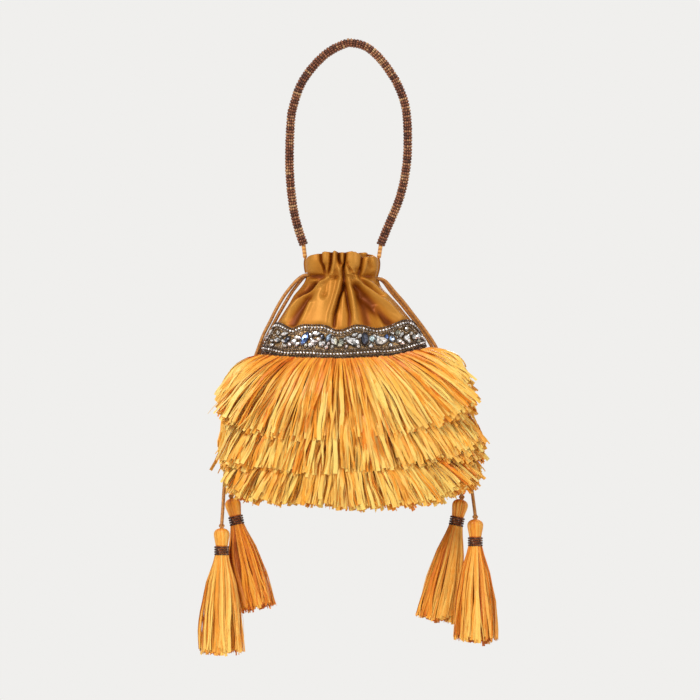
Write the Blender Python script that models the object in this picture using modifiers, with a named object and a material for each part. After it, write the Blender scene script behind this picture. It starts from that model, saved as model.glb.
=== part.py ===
"""Drawstring potli pouch: gathered satin body, bead-covered rope handle, crystal band, three fringe
tiers, two drawstrings and four tassels. Metres, +Z up, front faces -Y. The pouch hangs from its handle,
and the origin is at the underside of the handle's top."""

import math

import bmesh
import bpy
import numpy as np
from mathutils import Matrix, Vector

# Clearances between pieces that rest on each other, and around cords
SEAT = 0.0004
CORD_GAP = 0.0003
TUBE_RESOLUTION = 2

# Handle: a rope core whose bare ends are sewn to the mouth, inside a sleeve of seed beads
HANDLE_DIAMETER = 0.0076
BEAD_WALL = 0.0016
CORE_DIAMETER = 0.0036
HANDLE_POINT_SPACING = 0.0115
HANDLE_ROUTE = (
    (-0.0357, -0.1720),
    (-0.0406, -0.1574),
    (-0.0452, -0.1374),
    (-0.0482, -0.1041),
    (-0.0472, -0.0641),
    (-0.0439, -0.0468),
    (-0.0373, -0.0295),
    (-0.0266, -0.0149),
    (-0.0146, -0.0036),
    (0.0000, 0.0038),
    (0.0067, 0.0044),
    (0.0173, 0.0017),
    (0.0279, -0.0063),
    (0.0386, -0.0196),
    (0.0466, -0.0335),
    (0.0526, -0.0508),
    (0.0546, -0.0750),
    (0.0535, -0.1020),
    (0.0479, -0.1294),
    (0.0359, -0.1587),
    (0.0299, -0.1745),
)

# Satin body, top to bottom: height, half width, half depth, sideways lean, height of the gathers
SATIN_WALL = 0.0010
FOLDS = 12
RIM_Z = -0.1780
RIM_SIDE_DIP = 0.0056
RIM_RUFFLE = 0.0012
SLIT_TOP_Z = -0.1950
SLIT_BOTTOM_Z = -0.2030
SLIT_COLUMNS = 2
SATIN_SECTIONS = (
    (RIM_Z, 0.0305, 0.0200, -0.0026, 0.0022),
    (-0.1860, 0.0325, 0.0208, -0.0026, 0.0020),
    (-0.1915, 0.0322, 0.0196, -0.0026, 0.0016),
    (SLIT_TOP_Z, 0.0314, 0.0174, -0.0026, 0.0011),
    (SLIT_BOTTOM_Z, 0.0314, 0.0174, -0.0026, 0.0011),
    (-0.2080, 0.0345, 0.0184, -0.0034, 0.0014),
    (-0.2150, 0.0415, 0.0206, -0.0030, 0.0012),
    (-0.2218, 0.0465, 0.0230, -0.0016, 0.0008),
    (-0.2370, 0.0578, 0.0280, 0.0000, 0.0000),
    (-0.2540, 0.0668, 0.0318, 0.0000, 0.0000),
    (-0.2660, 0.0720, 0.0335, 0.0000, 0.0000),
    (-0.3090, 0.0860, 0.0370, 0.0000, 0.0000),
    (-0.3400, 0.0880, 0.0360, 0.0000, 0.0000),
    (-0.3650, 0.0800, 0.0280, 0.0000, 0.0000),
    (-0.3800, 0.0600, 0.0160, 0.0000, 0.0000),
    (-0.3860, 0.0340, 0.0070, 0.0000, 0.0000),
)
SATIN_BOTTOM_Z = -0.3875

# Lining, which hangs inside the satin
LINING_WALL = 0.0008
LINING_GAP = 0.0012
LINING_COLUMNS = 22
LINING_TOP_Z = -0.1850
LINING_TOP_GATHER = 0.0020
LINING_LIFT = 0.0030
LINING_LIFT_BELOW_Z = -0.3500

# Drawstrings: one ring of cord in the channel and two tails for each
CORD_DIAMETER = 0.0030
CORD_POINT_SPACING = 0.0070
CHANNEL_Z = (SLIT_TOP_Z + SLIT_BOTTOM_Z) / 2
RING_POINTS = 20
TAIL_SPREAD = 0.0017

# Fringe: three tiers, each sewn round the satin in a front and a back length
FRINGE_WALL = 0.0035
FRINGE_CLUMP = 0.0009
FRINGE_COLUMNS = 31
FRINGE_HEADER_SHARE = 0.05
FRINGE_ROWS = (0.0, FRINGE_HEADER_SHARE, 0.15, 0.32, 0.60, 1.0)
FRINGE_SIDE_GAP = 0.0046
FRINGE_HALF_WIDTH = 0.1150
FRINGE_TIPS = 0.0035
# Each tier: name, header height, end height, outer half depth, side rise, how fast the strands fan out
FRINGE_TIERS = (
    ("upper", -0.2690, -0.3410, 0.0550, 0.018, 4.5),
    ("middle", -0.3090, -0.3720, 0.0510, 0.020, 1.7),
    ("lower", -0.3480, -0.4050, 0.0480, 0.028, 1.7),
)

# Crystal band on the front
BAND_WALL = 0.0012
BAND_SIDE_ANGLE = math.radians(14)
BAND_COLUMNS = 33
BACKING_ROWS = 4
EDGING_ROWS = 2
BAND_DIP_Z = -0.2475
BAND_SCALLOP = 0.0045
BAND_SCALLOP_PITCH = 0.0355
BAND_SCALLOP_DIP_X = -0.0078
BAND_BOTTOM_Z = -0.2665
BAND_END_RISE = 0.0045
EDGING_RELIEF = 0.0018
TOP_EDGING_HEIGHT = 0.0046
BOTTOM_EDGING_HEIGHT = 0.0060

# Tassels
TASSEL_FLATNESS = 0.42
TASSEL_Y = 0.0090
KNOT_RADIUS = 0.0026
HEAD_RADIUS = 0.0062
HEAD_LENGTH = 0.0170
NECK_RADIUS = 0.0040
COLLAR_RADIUS = 0.0064
COLLAR_LENGTH = 0.0070
COLLAR_ROWS = 3
SKIRT_RADIUS = 0.0180
SKIRT_FLUTES = 12
TASSEL_STEPS = 12
# Each tassel: name, pivot x, pivot z, side of the pouch (-1 front, 1 back), length, tilt
TASSELS = (
    ("left_front", -0.1070, -0.4158, -1, 0.110, 0.0),
    ("left_back", -0.0992, -0.3905, 1, 0.099, -12.0),
    ("right_front", 0.1131, -0.4080, -1, 0.106, 0.0),
    ("right_back", 0.1018, -0.3914, 1, 0.109, 12.0),
)

# Routes of the drawstring tails, from the slit in the satin to the tassel
TAIL_ROUTES = {
    "left_front": (
        (-0.0352, -0.0017, -0.1976),
        (-0.0398, -0.0016, -0.2003),
        (-0.0448, -0.0015, -0.2052),
        (-0.0526, -0.0012, -0.2150),
        (-0.0592, -0.0011, -0.2260),
        (-0.0653, -0.0011, -0.2383),
        (-0.0709, -0.0011, -0.2493),
        (-0.0759, -0.0011, -0.2626),
        (-0.0783, -0.0011, -0.2693),
        (-0.0835, -0.0011, -0.2850),
        (-0.0910, -0.0011, -0.3050),
        (-0.0985, -0.0011, -0.3300),
        (-0.1025, -0.0011, -0.3500),
        (-0.1052, -0.0011, -0.3840),
        (-0.1060, -0.0045, -0.3980),
    ),
    "left_back": (
        (-0.0346, 0.0017, -0.1984),
        (-0.0374, 0.0016, -0.2010),
        (-0.0402, 0.0015, -0.2044),
        (-0.0462, 0.0013, -0.2122),
        (-0.0523, 0.0011, -0.2222),
        (-0.0583, 0.0011, -0.2327),
        (-0.0645, 0.0011, -0.2444),
        (-0.0704, 0.0011, -0.2560),
        (-0.0755, 0.0011, -0.2694),
        (-0.0803, 0.0011, -0.2850),
        (-0.0874, 0.0011, -0.3050),
        (-0.0905, 0.0011, -0.3300),
        (-0.0927, 0.0013, -0.3520),
        (-0.0955, 0.0040, -0.3720),
        (-0.0980, 0.0072, -0.3820),
    ),
    "right_front": (
        (0.0312, -0.0017, -0.2008),
        (0.0360, -0.0016, -0.2034),
        (0.0423, -0.0014, -0.2110),
        (0.0512, -0.0012, -0.2212),
        (0.0590, -0.0011, -0.2313),
        (0.0675, -0.0011, -0.2424),
        (0.0753, -0.0011, -0.2535),
        (0.0800, -0.0011, -0.2621),
        (0.0814, -0.0011, -0.2693),
        (0.0841, -0.0011, -0.2850),
        (0.0920, -0.0011, -0.3050),
        (0.0995, -0.0011, -0.3300),
        (0.1045, -0.0011, -0.3500),
        (0.1095, -0.0011, -0.3790),
        (0.1115, -0.0044, -0.3930),
    ),
    "right_back": (
        (0.0305, 0.0017, -0.2010),
        (0.0342, 0.0016, -0.2040),
        (0.0374, 0.0015, -0.2085),
        (0.0414, 0.0013, -0.2138),
        (0.0482, 0.0012, -0.2216),
        (0.0548, 0.0011, -0.2299),
        (0.0606, 0.0011, -0.2372),
        (0.0658, 0.0011, -0.2444),
        (0.0719, 0.0011, -0.2533),
        (0.0765, 0.0011, -0.2621),
        (0.0778, 0.0011, -0.2693),
        (0.0803, 0.0011, -0.2850),
        (0.0876, 0.0011, -0.3050),
        (0.0912, 0.0011, -0.3300),
        (0.0945, 0.0013, -0.3520),
        (0.0975, 0.0035, -0.3710),
        (0.1000, 0.0068, -0.3810),
    ),
}

# Crystals on the band: name, outline, x, level between the edgings (0 low, 1 high), length, width, turn
CRYSTAL_HEIGHT = 0.0032
CRYSTAL_SIDES = 8
CRYSTAL_GAP = 0.0004
CRYSTALS = (
    ("grey_oval_left", "oval", -0.0606, 1.0, 0.0060, 0.0032, 80),
    ("white_oval_left", "oval", -0.0562, 0.0, 0.0056, 0.0038, 0),
    ("pink_round_left", "oval", -0.0630, 0.2, 0.0042, 0.0038, 0),
    ("dark_marquise_left", "marquise", -0.0482, 0.1, 0.0062, 0.0036, 55),
    ("clear_marquise_left", "marquise", -0.0500, 1.0, 0.0058, 0.0030, 15),
    ("clear_round_left", "oval", -0.0425, 0.0, 0.0046, 0.0044, 0),
    ("grey_round_left", "oval", -0.0402, 0.8, 0.0042, 0.0038, 0),
    ("blue_marquise", "marquise", -0.0335, 0.5, 0.0104, 0.0050, 70),
    ("clear_pear_left", "pear", -0.0258, 0.1, 0.0058, 0.0044, 20),
    ("clear_marquise_top", "marquise", -0.0240, 1.0, 0.0064, 0.0034, 0),
    ("clear_pear_middle", "pear", -0.0190, 0.0, 0.0056, 0.0040, 0),
    ("pale_blue_marquise", "marquise", -0.0138, 0.9, 0.0062, 0.0034, 60),
    ("cream_marquise", "marquise", -0.0082, 0.6, 0.0060, 0.0032, 80),
    ("grey_green_oval", "oval", -0.0030, 0.2, 0.0054, 0.0040, 90),
    ("large_clear_pear", "pear", 0.0062, 0.2, 0.0110, 0.0056, 8),
    ("navy_oval", "oval", 0.0165, 0.5, 0.0098, 0.0056, 90),
    ("aqua_round", "oval", 0.0228, 0.7, 0.0050, 0.0050, 0),
    ("large_grey_pear", "pear", 0.0306, 0.3, 0.0098, 0.0062, 5),
    ("lavender_round", "oval", 0.0392, 0.4, 0.0050, 0.0048, 0),
    ("olive_round", "oval", 0.0440, 1.0, 0.0046, 0.0042, 0),
    ("grey_oval_right", "oval", 0.0450, 0.1, 0.0052, 0.0036, 0),
    ("clear_pear_right", "pear", 0.0516, 0.4, 0.0060, 0.0046, 35),
    ("white_round_right", "oval", 0.0572, 0.4, 0.0046, 0.0044, 0),
)
CRYSTAL_COLOURS = {
    "blue": (0.05, 0.14, 0.42),
    "navy": (0.02, 0.03, 0.08),
    "dark": (0.03, 0.04, 0.09),
    "pale": (0.62, 0.72, 0.85),
    "aqua": (0.66, 0.82, 0.84),
    "lavender": (0.66, 0.70, 0.86),
    "olive": (0.42, 0.42, 0.34),
    "pink": (0.82, 0.66, 0.64),
    "cream": (0.82, 0.76, 0.60),
    "other": (0.80, 0.80, 0.80),
}


def clear_scene():
    """Remove every object of the startup scene."""
    for obj in list(bpy.data.objects):
        bpy.data.objects.remove(obj, do_unlink=True)


def make_material(name, colour, roughness, metallic=0.0):
    """A Principled material with one colour."""
    material = bpy.data.materials.new(name)
    material.use_nodes = True
    shader = material.node_tree.nodes["Principled BSDF"]
    shader.inputs["Base Color"].default_value = (*colour, 1.0)
    shader.inputs["Roughness"].default_value = roughness
    shader.inputs["Metallic"].default_value = metallic
    return material


def make_empty(name, location, tilt, parent, collection):
    """An empty on a joint's axis, placed in world space."""
    empty = bpy.data.objects.new(name, None)
    collection.objects.link(empty)
    empty.location = location
    empty.rotation_euler = (0.0, math.radians(tilt), 0.0)
    if parent:
        empty.parent = parent
        empty.matrix_parent_inverse = Matrix.Translation(-parent.location)
    return empty


def place(obj, material, parent, collection, local=False):
    """Link an object. Its data is in world space, or about its parent's axis where local is true."""
    obj.data.materials.append(material)
    collection.objects.link(obj)
    if parent:
        obj.parent = parent
    if parent and not local:
        obj.matrix_parent_inverse = Matrix.Translation(-parent.location)


def smooth_route(points, spacing):
    """Points at an even spacing on the Catmull-Rom curve through the given ones."""
    knots = np.array(points, float)
    before = 2 * knots[0] - knots[1]
    after = 2 * knots[-1] - knots[-2]
    padded = np.vstack([before, knots, after])
    t = np.linspace(0, 1, 24, endpoint=False)[:, None]
    pieces = []
    for p0, p1, p2, p3 in zip(padded, padded[1:], padded[2:], padded[3:]):
        turn = 2 * p0 - 5 * p1 + 4 * p2 - p3
        lift = 3 * p1 - p0 - 3 * p2 + p3
        pieces.append(0.5 * (2 * p1 + (p2 - p0) * t + turn * t**2 + lift * t**3))
    fine = np.vstack([*pieces, knots[-1:]])
    travelled = np.concatenate([[0], np.cumsum(np.linalg.norm(np.diff(fine, axis=0), axis=1))])
    count = max(2, round(travelled[-1] / spacing) + 1)
    even = np.linspace(0, travelled[-1], count)
    return np.stack([np.interp(even, travelled, fine[:, axis]) for axis in range(3)], axis=1)


def rounded_ends(points, radius):
    """The route with three more points at each end, and a radius for each that rounds the ends off."""
    turns = np.radians((0, 45, 80))
    sizes = [radius] * len(points)
    for at_end in (False, True):
        tip, inner = (points[-1], points[-2]) if at_end else (points[0], points[1])
        outwards = (tip - inner) / np.linalg.norm(tip - inner)
        cap = [tip + outwards * radius * math.sin(turn) for turn in turns[1:]]
        cap_sizes = [radius * math.cos(turn) for turn in turns[1:]]
        if at_end:
            points, sizes = np.vstack([points, cap]), sizes + cap_sizes
        else:
            points, sizes = np.vstack([cap[::-1], points]), cap_sizes[::-1] + sizes
    return points, sizes


def make_tube(name, points, radius, closed=False, capped=True, rounded=False):
    """A round cord or rope along straight runs between close points."""
    sizes = [radius] * len(points)
    if rounded:
        points, sizes = rounded_ends(points, radius)
    data = bpy.data.curves.new(name, "CURVE")
    data.dimensions = "3D"
    data.bevel_depth = radius
    data.bevel_resolution = TUBE_RESOLUTION
    data.use_fill_caps = capped and not closed
    spline = data.splines.new("POLY")
    spline.points.add(len(points) - 1)
    for point, place_at, size in zip(spline.points, points, sizes):
        point.co = (*place_at, 1.0)
        point.radius = size / radius
    spline.use_cyclic_u = closed
    spline.use_smooth = True
    return bpy.data.objects.new(name, data)


def make_sheet(name, rows, wall, around=False, holes=(), bottom=None):
    """A wall of cloth or trim. Rows of points make its outer face, and its thickness goes inwards.

    around joins the last column to the first, holes are (row, column) faces that are left out,
    and bottom is a point that closes the last row."""
    rows = np.asarray(rows, float)
    row_count, column_count, _ = rows.shape
    mesh = bpy.data.meshes.new(name)
    shape = bmesh.new()
    grid = [[shape.verts.new(point) for point in row] for row in rows]
    for r in range(row_count - 1):
        for c in range(column_count if around else column_count - 1):
            if (r, c) in holes:
                continue
            after = (c + 1) % column_count
            shape.faces.new((grid[r][c], grid[r][after], grid[r + 1][after], grid[r + 1][c]))
    if bottom is not None:
        middle = shape.verts.new(bottom)
        for c in range(column_count):
            shape.faces.new((grid[-1][c], grid[-1][(c + 1) % column_count], middle))
    for face in shape.faces:
        face.smooth = True
    shape.to_mesh(mesh)
    shape.free()
    obj = bpy.data.objects.new(name, mesh)
    solidify = obj.modifiers.new("wall", "SOLIDIFY")
    solidify.thickness = wall
    solidify.offset = -1.0
    return obj


def make_loft(name, rings):
    """A closed solid through rings of equal point counts, which run anticlockwise seen from the last."""
    mesh = bpy.data.meshes.new(name)
    shape = bmesh.new()
    grid = [[shape.verts.new(point) for point in ring] for ring in rings]
    for low, high in zip(grid, grid[1:]):
        for c in range(len(low)):
            after = (c + 1) % len(low)
            shape.faces.new((low[c], low[after], high[after], high[c]))
    shape.faces.new(grid[0][::-1])
    shape.faces.new(grid[-1])
    shape.to_mesh(mesh)
    shape.free()
    mesh.shade_smooth()
    mesh.set_sharp_from_angle(angle=math.radians(40))
    return bpy.data.objects.new(name, mesh)


def make_turned(name, profile, steps, closed=False):
    """A profile of (radius, height) points, top to bottom on the outside, turned about Z."""
    mesh = bpy.data.meshes.new(name)
    edges = [(i, i + 1) for i in range(len(profile) - 1)]
    if closed:
        edges.append((len(profile) - 1, 0))
    mesh.from_pydata([(radius, 0.0, height) for radius, height in profile], edges, [])
    obj = bpy.data.objects.new(name, mesh)
    screw = obj.modifiers.new("turn", "SCREW")
    screw.steps = steps
    screw.render_steps = steps
    screw.use_merge_vertices = True
    screw.merge_threshold = 0.00001
    screw.use_smooth_shade = True
    return obj


def satin_size(z):
    """Half width, half depth and lean of the satin's outer face at a height."""
    heights = [row[0] for row in SATIN_SECTIONS][::-1]
    columns = [[row[i] for row in SATIN_SECTIONS][::-1] for i in (1, 2, 3)]
    return [float(np.interp(z, heights, column)) for column in columns]


def satin_point(angle, z):
    """The point of the satin's outer face at an angle round the pouch, from the right over the front."""
    half_width, half_depth, lean = satin_size(z)
    return Vector((lean + half_width * math.cos(angle), -half_depth * math.sin(angle), z))


def satin_axes(angle, z):
    """Three unit vectors on the satin: along it to the right, up it, and straight out of it."""
    turn, rise = 0.01, 0.0030
    along = (satin_point(angle - turn, z) - satin_point(angle + turn, z)).normalized()
    up = (satin_point(angle, z + rise) - satin_point(angle, z - rise)).normalized()
    outwards = along.cross(up).normalized()
    return along, outwards.cross(along), outwards


def on_satin(angle, z, lift):
    """The point that stands straight off the satin's outer face by a distance."""
    return satin_point(angle, z) + satin_axes(angle, z)[2] * lift


def ring_of(half_width, half_depth, lean, z, count, lift=0.0):
    """Points of a level ellipse, clockwise seen from above, from the right side over the front."""
    angle = np.arange(count) * 2 * math.pi / count
    x = lean + (half_width + lift) * np.cos(angle)
    y = -(half_depth + lift) * np.sin(angle)
    return np.stack([x, y, np.broadcast_to(z, (count,))], axis=1)


def make_satin():
    """The gathered outer pouch, with a ruffled rim and a slit at each side of the drawstring channel."""
    columns = 4 * FOLDS
    angle = np.arange(columns) * 2 * math.pi / columns
    gather = np.cos(np.arange(columns) * math.pi / 2)
    rows = []
    for z, half_width, half_depth, lean, height in SATIN_SECTIONS:
        rows.append(ring_of(half_width, half_depth, lean, z, columns, height * gather))
    front_share = np.clip((np.abs(np.sin(angle)) - 0.6) / 0.3, 0, 1)
    rows[0][:, 2] += RIM_RUFFLE * gather * front_share - RIM_SIDE_DIP * (1 - front_share)
    slit_row = [row[0] for row in SATIN_SECTIONS].index(SLIT_TOP_Z)
    near_side = range(-SLIT_COLUMNS, SLIT_COLUMNS)
    holes = {(slit_row, (c + side) % columns) for side in (0, columns // 2) for c in near_side}
    return make_sheet(
        "satin_pouch", rows, SATIN_WALL, around=True, holes=holes, bottom=(0.0, 0.0, SATIN_BOTTOM_Z)
    )


def channel_size():
    """Half width and half depth of the drawstring rings' centre line, and the lean of the neck."""
    half_width, half_depth, lean = satin_size(CHANNEL_Z)
    gather = SATIN_SECTIONS[3][4]
    inset = SATIN_WALL + gather + 2 * CORD_GAP + CORD_DIAMETER / 2
    return half_width - inset, half_depth - inset, lean


def make_lining():
    """The inner bag. It narrows at the channel to leave room for the drawstrings."""
    ring_width, ring_depth, lean = channel_size()
    inset = CORD_DIAMETER / 2 + CORD_GAP + SEAT
    rows = [(LINING_TOP_Z, *lining_size(LINING_TOP_Z, LINING_TOP_GATHER))]
    for z, _, _, _, gather in SATIN_SECTIONS[2:]:
        if z in (SLIT_TOP_Z, SLIT_BOTTOM_Z):
            rows.append((z, ring_width - inset, ring_depth - inset, lean))
            continue
        lift = LINING_LIFT if z < LINING_LIFT_BELOW_Z else 0.0
        rows.append((z + lift, *lining_size(z, gather)))
    rings = [ring_of(wide, deep, shift, z, LINING_COLUMNS) for z, wide, deep, shift in rows]
    bottom = (0.0, 0.0, SATIN_BOTTOM_Z + LINING_LIFT)
    return make_sheet("lining", rings, LINING_WALL, around=True, bottom=bottom)


def lining_size(z, gather):
    """The lining's outer half width, half depth and lean where it lies against the satin."""
    half_width, half_depth, lean = satin_size(z)
    inset = SATIN_WALL + gather + LINING_GAP
    return half_width - inset, half_depth - inset, lean


def ring_height(level):
    """Height of a drawstring's turn round the neck, above (level 1) or below (level -1) the other."""
    return CHANNEL_Z + level * (CORD_DIAMETER + CORD_GAP) / 2


def make_drawstring_ring(name, level):
    """One drawstring's turn round the neck, inside the channel."""
    half_width, half_depth, lean = channel_size()
    points = ring_of(half_width, half_depth, lean, ring_height(level), RING_POINTS)
    return make_tube(name, points, CORD_DIAMETER / 2, closed=True)


def make_tail(name, tassel):
    """A drawstring tail, from the channel to just above the knot of its tassel."""
    label, pivot_x, pivot_z, side, _, _ = tassel
    ring_width, _, lean = channel_size()
    left = pivot_x < 0
    reach = ring_width + CORD_DIAMETER / 2 + CORD_GAP
    start = (lean - reach if left else lean + reach, side * TAIL_SPREAD, ring_height(1 if left else -1))
    end = (pivot_x, side * TASSEL_Y, pivot_z + KNOT_RADIUS + CORD_GAP)
    points = smooth_route((start, *TAIL_ROUTES[label], end), CORD_POINT_SPACING)
    return make_tube(name, points, CORD_DIAMETER / 2)


def hinge_line():
    """Where the core's round ends stand on the rim: the left and right x, and the height of the axis."""
    rim_z, half_width, _, lean, gather = SATIN_SECTIONS[0]
    reach = half_width + gather - SATIN_WALL / 2
    return lean - reach, lean + reach, rim_z - RIM_SIDE_DIP + CORE_DIAMETER / 2 + CORD_GAP


def make_handle():
    """The rope core and the bead sleeve, on one route, so that the core runs down the sleeve's middle."""
    left_x, right_x, hinge_z = hinge_line()
    route = [(x, 0.0, z) for x, z in ((left_x, hinge_z), *HANDLE_ROUTE, (right_x, hinge_z))]
    points = smooth_route(route, HANDLE_POINT_SPACING)
    core = make_tube("handle_rope_core", points, CORE_DIAMETER / 2, rounded=True)
    sleeve = make_tube("handle_bead_sleeve", points[1:-1], HANDLE_DIAMETER / 2, capped=False)
    wall = sleeve.modifiers.new("wall", "SOLIDIFY")
    wall.thickness = BEAD_WALL
    wall.offset = -1.0
    return core, sleeve


def fringe_header(top_z, z):
    """Outer half width and half depth of a fringe header, sewn on the satin from its top to a height."""
    top_width, top_depth, _ = satin_size(top_z)
    half_width, half_depth, _ = satin_size(z)
    stand = SEAT + FRINGE_WALL + FRINGE_CLUMP
    return max(top_width, half_width) + stand, max(top_depth, half_depth) + stand


def make_fringe(tier, front):
    """One length of fringe. Its strands fan out below the header, in clumps with uneven tips."""
    label, header_z, end_z, outer_depth, side_rise, fan = tier
    facing = -1.0 if front else 1.0
    column = np.arange(FRINGE_COLUMNS)
    clump = np.where(column % 2 == 0, -1.0, 1.0)
    rows = []
    for share in FRINGE_ROWS:
        sewn = min(share, FRINGE_HEADER_SHARE)
        header_width, header_depth = fringe_header(header_z, header_z + (end_z - header_z) * sewn)
        spread = 1 - (1 - (share - sewn)) ** fan
        half_width = header_width + (FRINGE_HALF_WIDTH - header_width) * spread
        half_depth = header_depth + (outer_depth - header_depth) * spread
        start = math.asin(FRINGE_SIDE_GAP / half_depth)
        angle = start + (math.pi - 2 * start) * column / (FRINGE_COLUMNS - 1)
        tip_z = end_z + side_rise * (1 - np.sin(angle)) ** 0.7 - FRINGE_TIPS * clump
        lift = FRINGE_CLUMP * clump
        x = (half_width + lift) * np.cos(angle)
        y = facing * (half_depth + lift) * np.sin(angle)
        z = header_z + (tip_z - header_z) * share
        y = facing * np.maximum(facing * y, FRINGE_SIDE_GAP)
        rows.append(np.stack([x, y, z], axis=1))
    rows = np.array(rows)
    if not front:
        rows = rows[:, ::-1]
    side = "front" if front else "back"
    return make_sheet(f"{label}_fringe_{side}", rows, FRINGE_WALL)


def band_limits(x, half_width):
    """Top and bottom height of the crystal band at a distance from the middle."""
    rise = BAND_END_RISE * (x / half_width) ** 2
    arch = abs(math.sin(math.pi * (x - BAND_SCALLOP_DIP_X) / BAND_SCALLOP_PITCH)) ** 0.8
    return BAND_DIP_Z + BAND_SCALLOP * arch + rise / 2, BAND_BOTTOM_Z + rise


def make_band_strip(name, wall, lift, row_count, upper, lower):
    """A strip on the front of the satin. upper and lower give its edges from the band's top and bottom."""
    half_width = satin_size(BAND_BOTTOM_Z)[0]
    rows = [[] for _ in range(row_count)]
    for column in range(BAND_COLUMNS):
        share = column / (BAND_COLUMNS - 1)
        angle = BAND_SIDE_ANGLE + (math.pi - 2 * BAND_SIDE_ANGLE) * share
        top, bottom = band_limits(half_width * math.cos(angle), half_width)
        heights = np.linspace(upper(top, bottom), lower(top, bottom), row_count)
        for row, z in zip(rows, heights):
            row.append(on_satin(angle, z, lift + wall))
    return make_sheet(name, rows, wall)


def make_band():
    """The band's backing and its two rows of bead edging."""
    backing = make_band_strip(
        "band_backing",
        BAND_WALL,
        SEAT,
        BACKING_ROWS,
        lambda top, bottom: top,
        lambda top, bottom: bottom,
    )
    lift = 2 * SEAT + BAND_WALL
    upper = make_band_strip(
        "upper_bead_edging",
        EDGING_RELIEF,
        lift,
        EDGING_ROWS,
        lambda top, bottom: top,
        lambda top, bottom: top - TOP_EDGING_HEIGHT,
    )
    lower = make_band_strip(
        "lower_bead_edging",
        EDGING_RELIEF,
        lift,
        EDGING_ROWS,
        lambda top, bottom: bottom + BOTTOM_EDGING_HEIGHT,
        lambda top, bottom: bottom,
    )
    return backing, upper, lower


def outline_point(outline, t):
    """A point of a stone's outline, whose longest side is along X, in shares of its half sizes."""
    if outline == "marquise":
        return math.cos(t), math.sin(t) * abs(math.sin(t)) ** 0.5
    if outline == "pear":
        return math.cos(t), math.sin(t) * (1 - 0.35 * math.cos(t))
    return math.cos(t), math.sin(t)


def make_crystal(row):
    """A faceted stone that lies on the band: a flat foot, a girdle and a table."""
    label, outline, x, level, length, width, turn = row
    turned = math.radians(turn)
    half_height = math.hypot(length * math.sin(turned), width * math.cos(turned)) / 2 + CRYSTAL_GAP
    top, bottom = band_limits(x, satin_size(BAND_BOTTOM_Z)[0])
    low = bottom + BOTTOM_EDGING_HEIGHT + half_height
    high = top - TOP_EDGING_HEIGHT - half_height
    z = low + (high - low) * level
    half_width, _, lean = satin_size(z)
    angle = math.acos((x - lean) / half_width)
    centre = on_satin(angle, z, 2 * SEAT + BAND_WALL)
    along, rising, outwards = satin_axes(angle, z)
    rings = []
    for share, height in ((0.85, 0.0), (1.0, 0.35 * CRYSTAL_HEIGHT), (0.55, CRYSTAL_HEIGHT)):
        ring = []
        for i in range(CRYSTAL_SIDES):
            u, v = outline_point(outline, 2 * math.pi * i / CRYSTAL_SIDES)
            u, v = u * length / 2 * share, v * width / 2 * share
            right = u * math.cos(turned) - v * math.sin(turned)
            up = u * math.sin(turned) + v * math.cos(turned)
            ring.append(centre + along * right + rising * up + outwards * height)
        rings.append(ring)
    return make_loft("crystal_" + label, rings)


def make_tassel_head(name):
    """The cord knot and the thread-wrapped head below it."""
    profile = []
    for degrees in range(0, 121, 30):
        turn = math.radians(degrees)
        profile.append((KNOT_RADIUS * math.sin(turn), KNOT_RADIUS * math.cos(turn)))
    start = KNOT_RADIUS * 0.9
    for share in (0.15, 0.40, 0.65, 0.88):
        radius = NECK_RADIUS + (HEAD_RADIUS - NECK_RADIUS) * math.sin(math.pi * share) ** 0.7
        profile.append((radius, -start - (HEAD_LENGTH - start) * share))
    profile += [(NECK_RADIUS, -HEAD_LENGTH), (0.0, -HEAD_LENGTH)]
    return make_turned(name, profile, TASSEL_STEPS)


def make_tassel_collar(name):
    """The ring of bead rows round the tassel's neck."""
    inner = NECK_RADIUS + SEAT
    row_height = COLLAR_LENGTH / COLLAR_ROWS
    top = -HEAD_LENGTH - SEAT
    profile = [(inner, top)]
    for row in range(COLLAR_ROWS):
        profile.append((COLLAR_RADIUS - 0.0006, top - row_height * row))
        profile.append((COLLAR_RADIUS, top - row_height * (row + 0.5)))
    profile.append((COLLAR_RADIUS - 0.0006, top - COLLAR_LENGTH))
    profile.append((inner, top - COLLAR_LENGTH))
    return make_turned(name, profile, TASSEL_STEPS, closed=True)


def make_tassel_skirt(name, length):
    """The bundle of threads: its bound neck passes up the collar, and its flutes fan out below."""
    top = -HEAD_LENGTH - SEAT
    bound = top - COLLAR_LENGTH - SEAT
    count = 2 * SKIRT_FLUTES
    angle = np.arange(count) * 2 * math.pi / count
    flute = np.where(np.arange(count) % 2 == 0, 1.0, -1.0)
    rings = []
    for radius, z, depth in (
        (SKIRT_RADIUS, -length, 0.0011),
        (SKIRT_RADIUS * 0.93, -0.74 * length, 0.0010),
        (SKIRT_RADIUS * 0.66, -0.46 * length, 0.0008),
        (NECK_RADIUS * 1.2, bound, 0.0003),
        (NECK_RADIUS, bound + SEAT / 2, 0.0),
        (NECK_RADIUS, top, 0.0),
    ):
        reach = radius + depth * flute
        heights = z - (0.0020 * flute if z == -length else 0.0) + np.zeros(count)
        rings.append(np.stack([reach * np.cos(angle), reach * np.sin(angle), heights], axis=1))
    return make_loft(name, rings)


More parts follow.
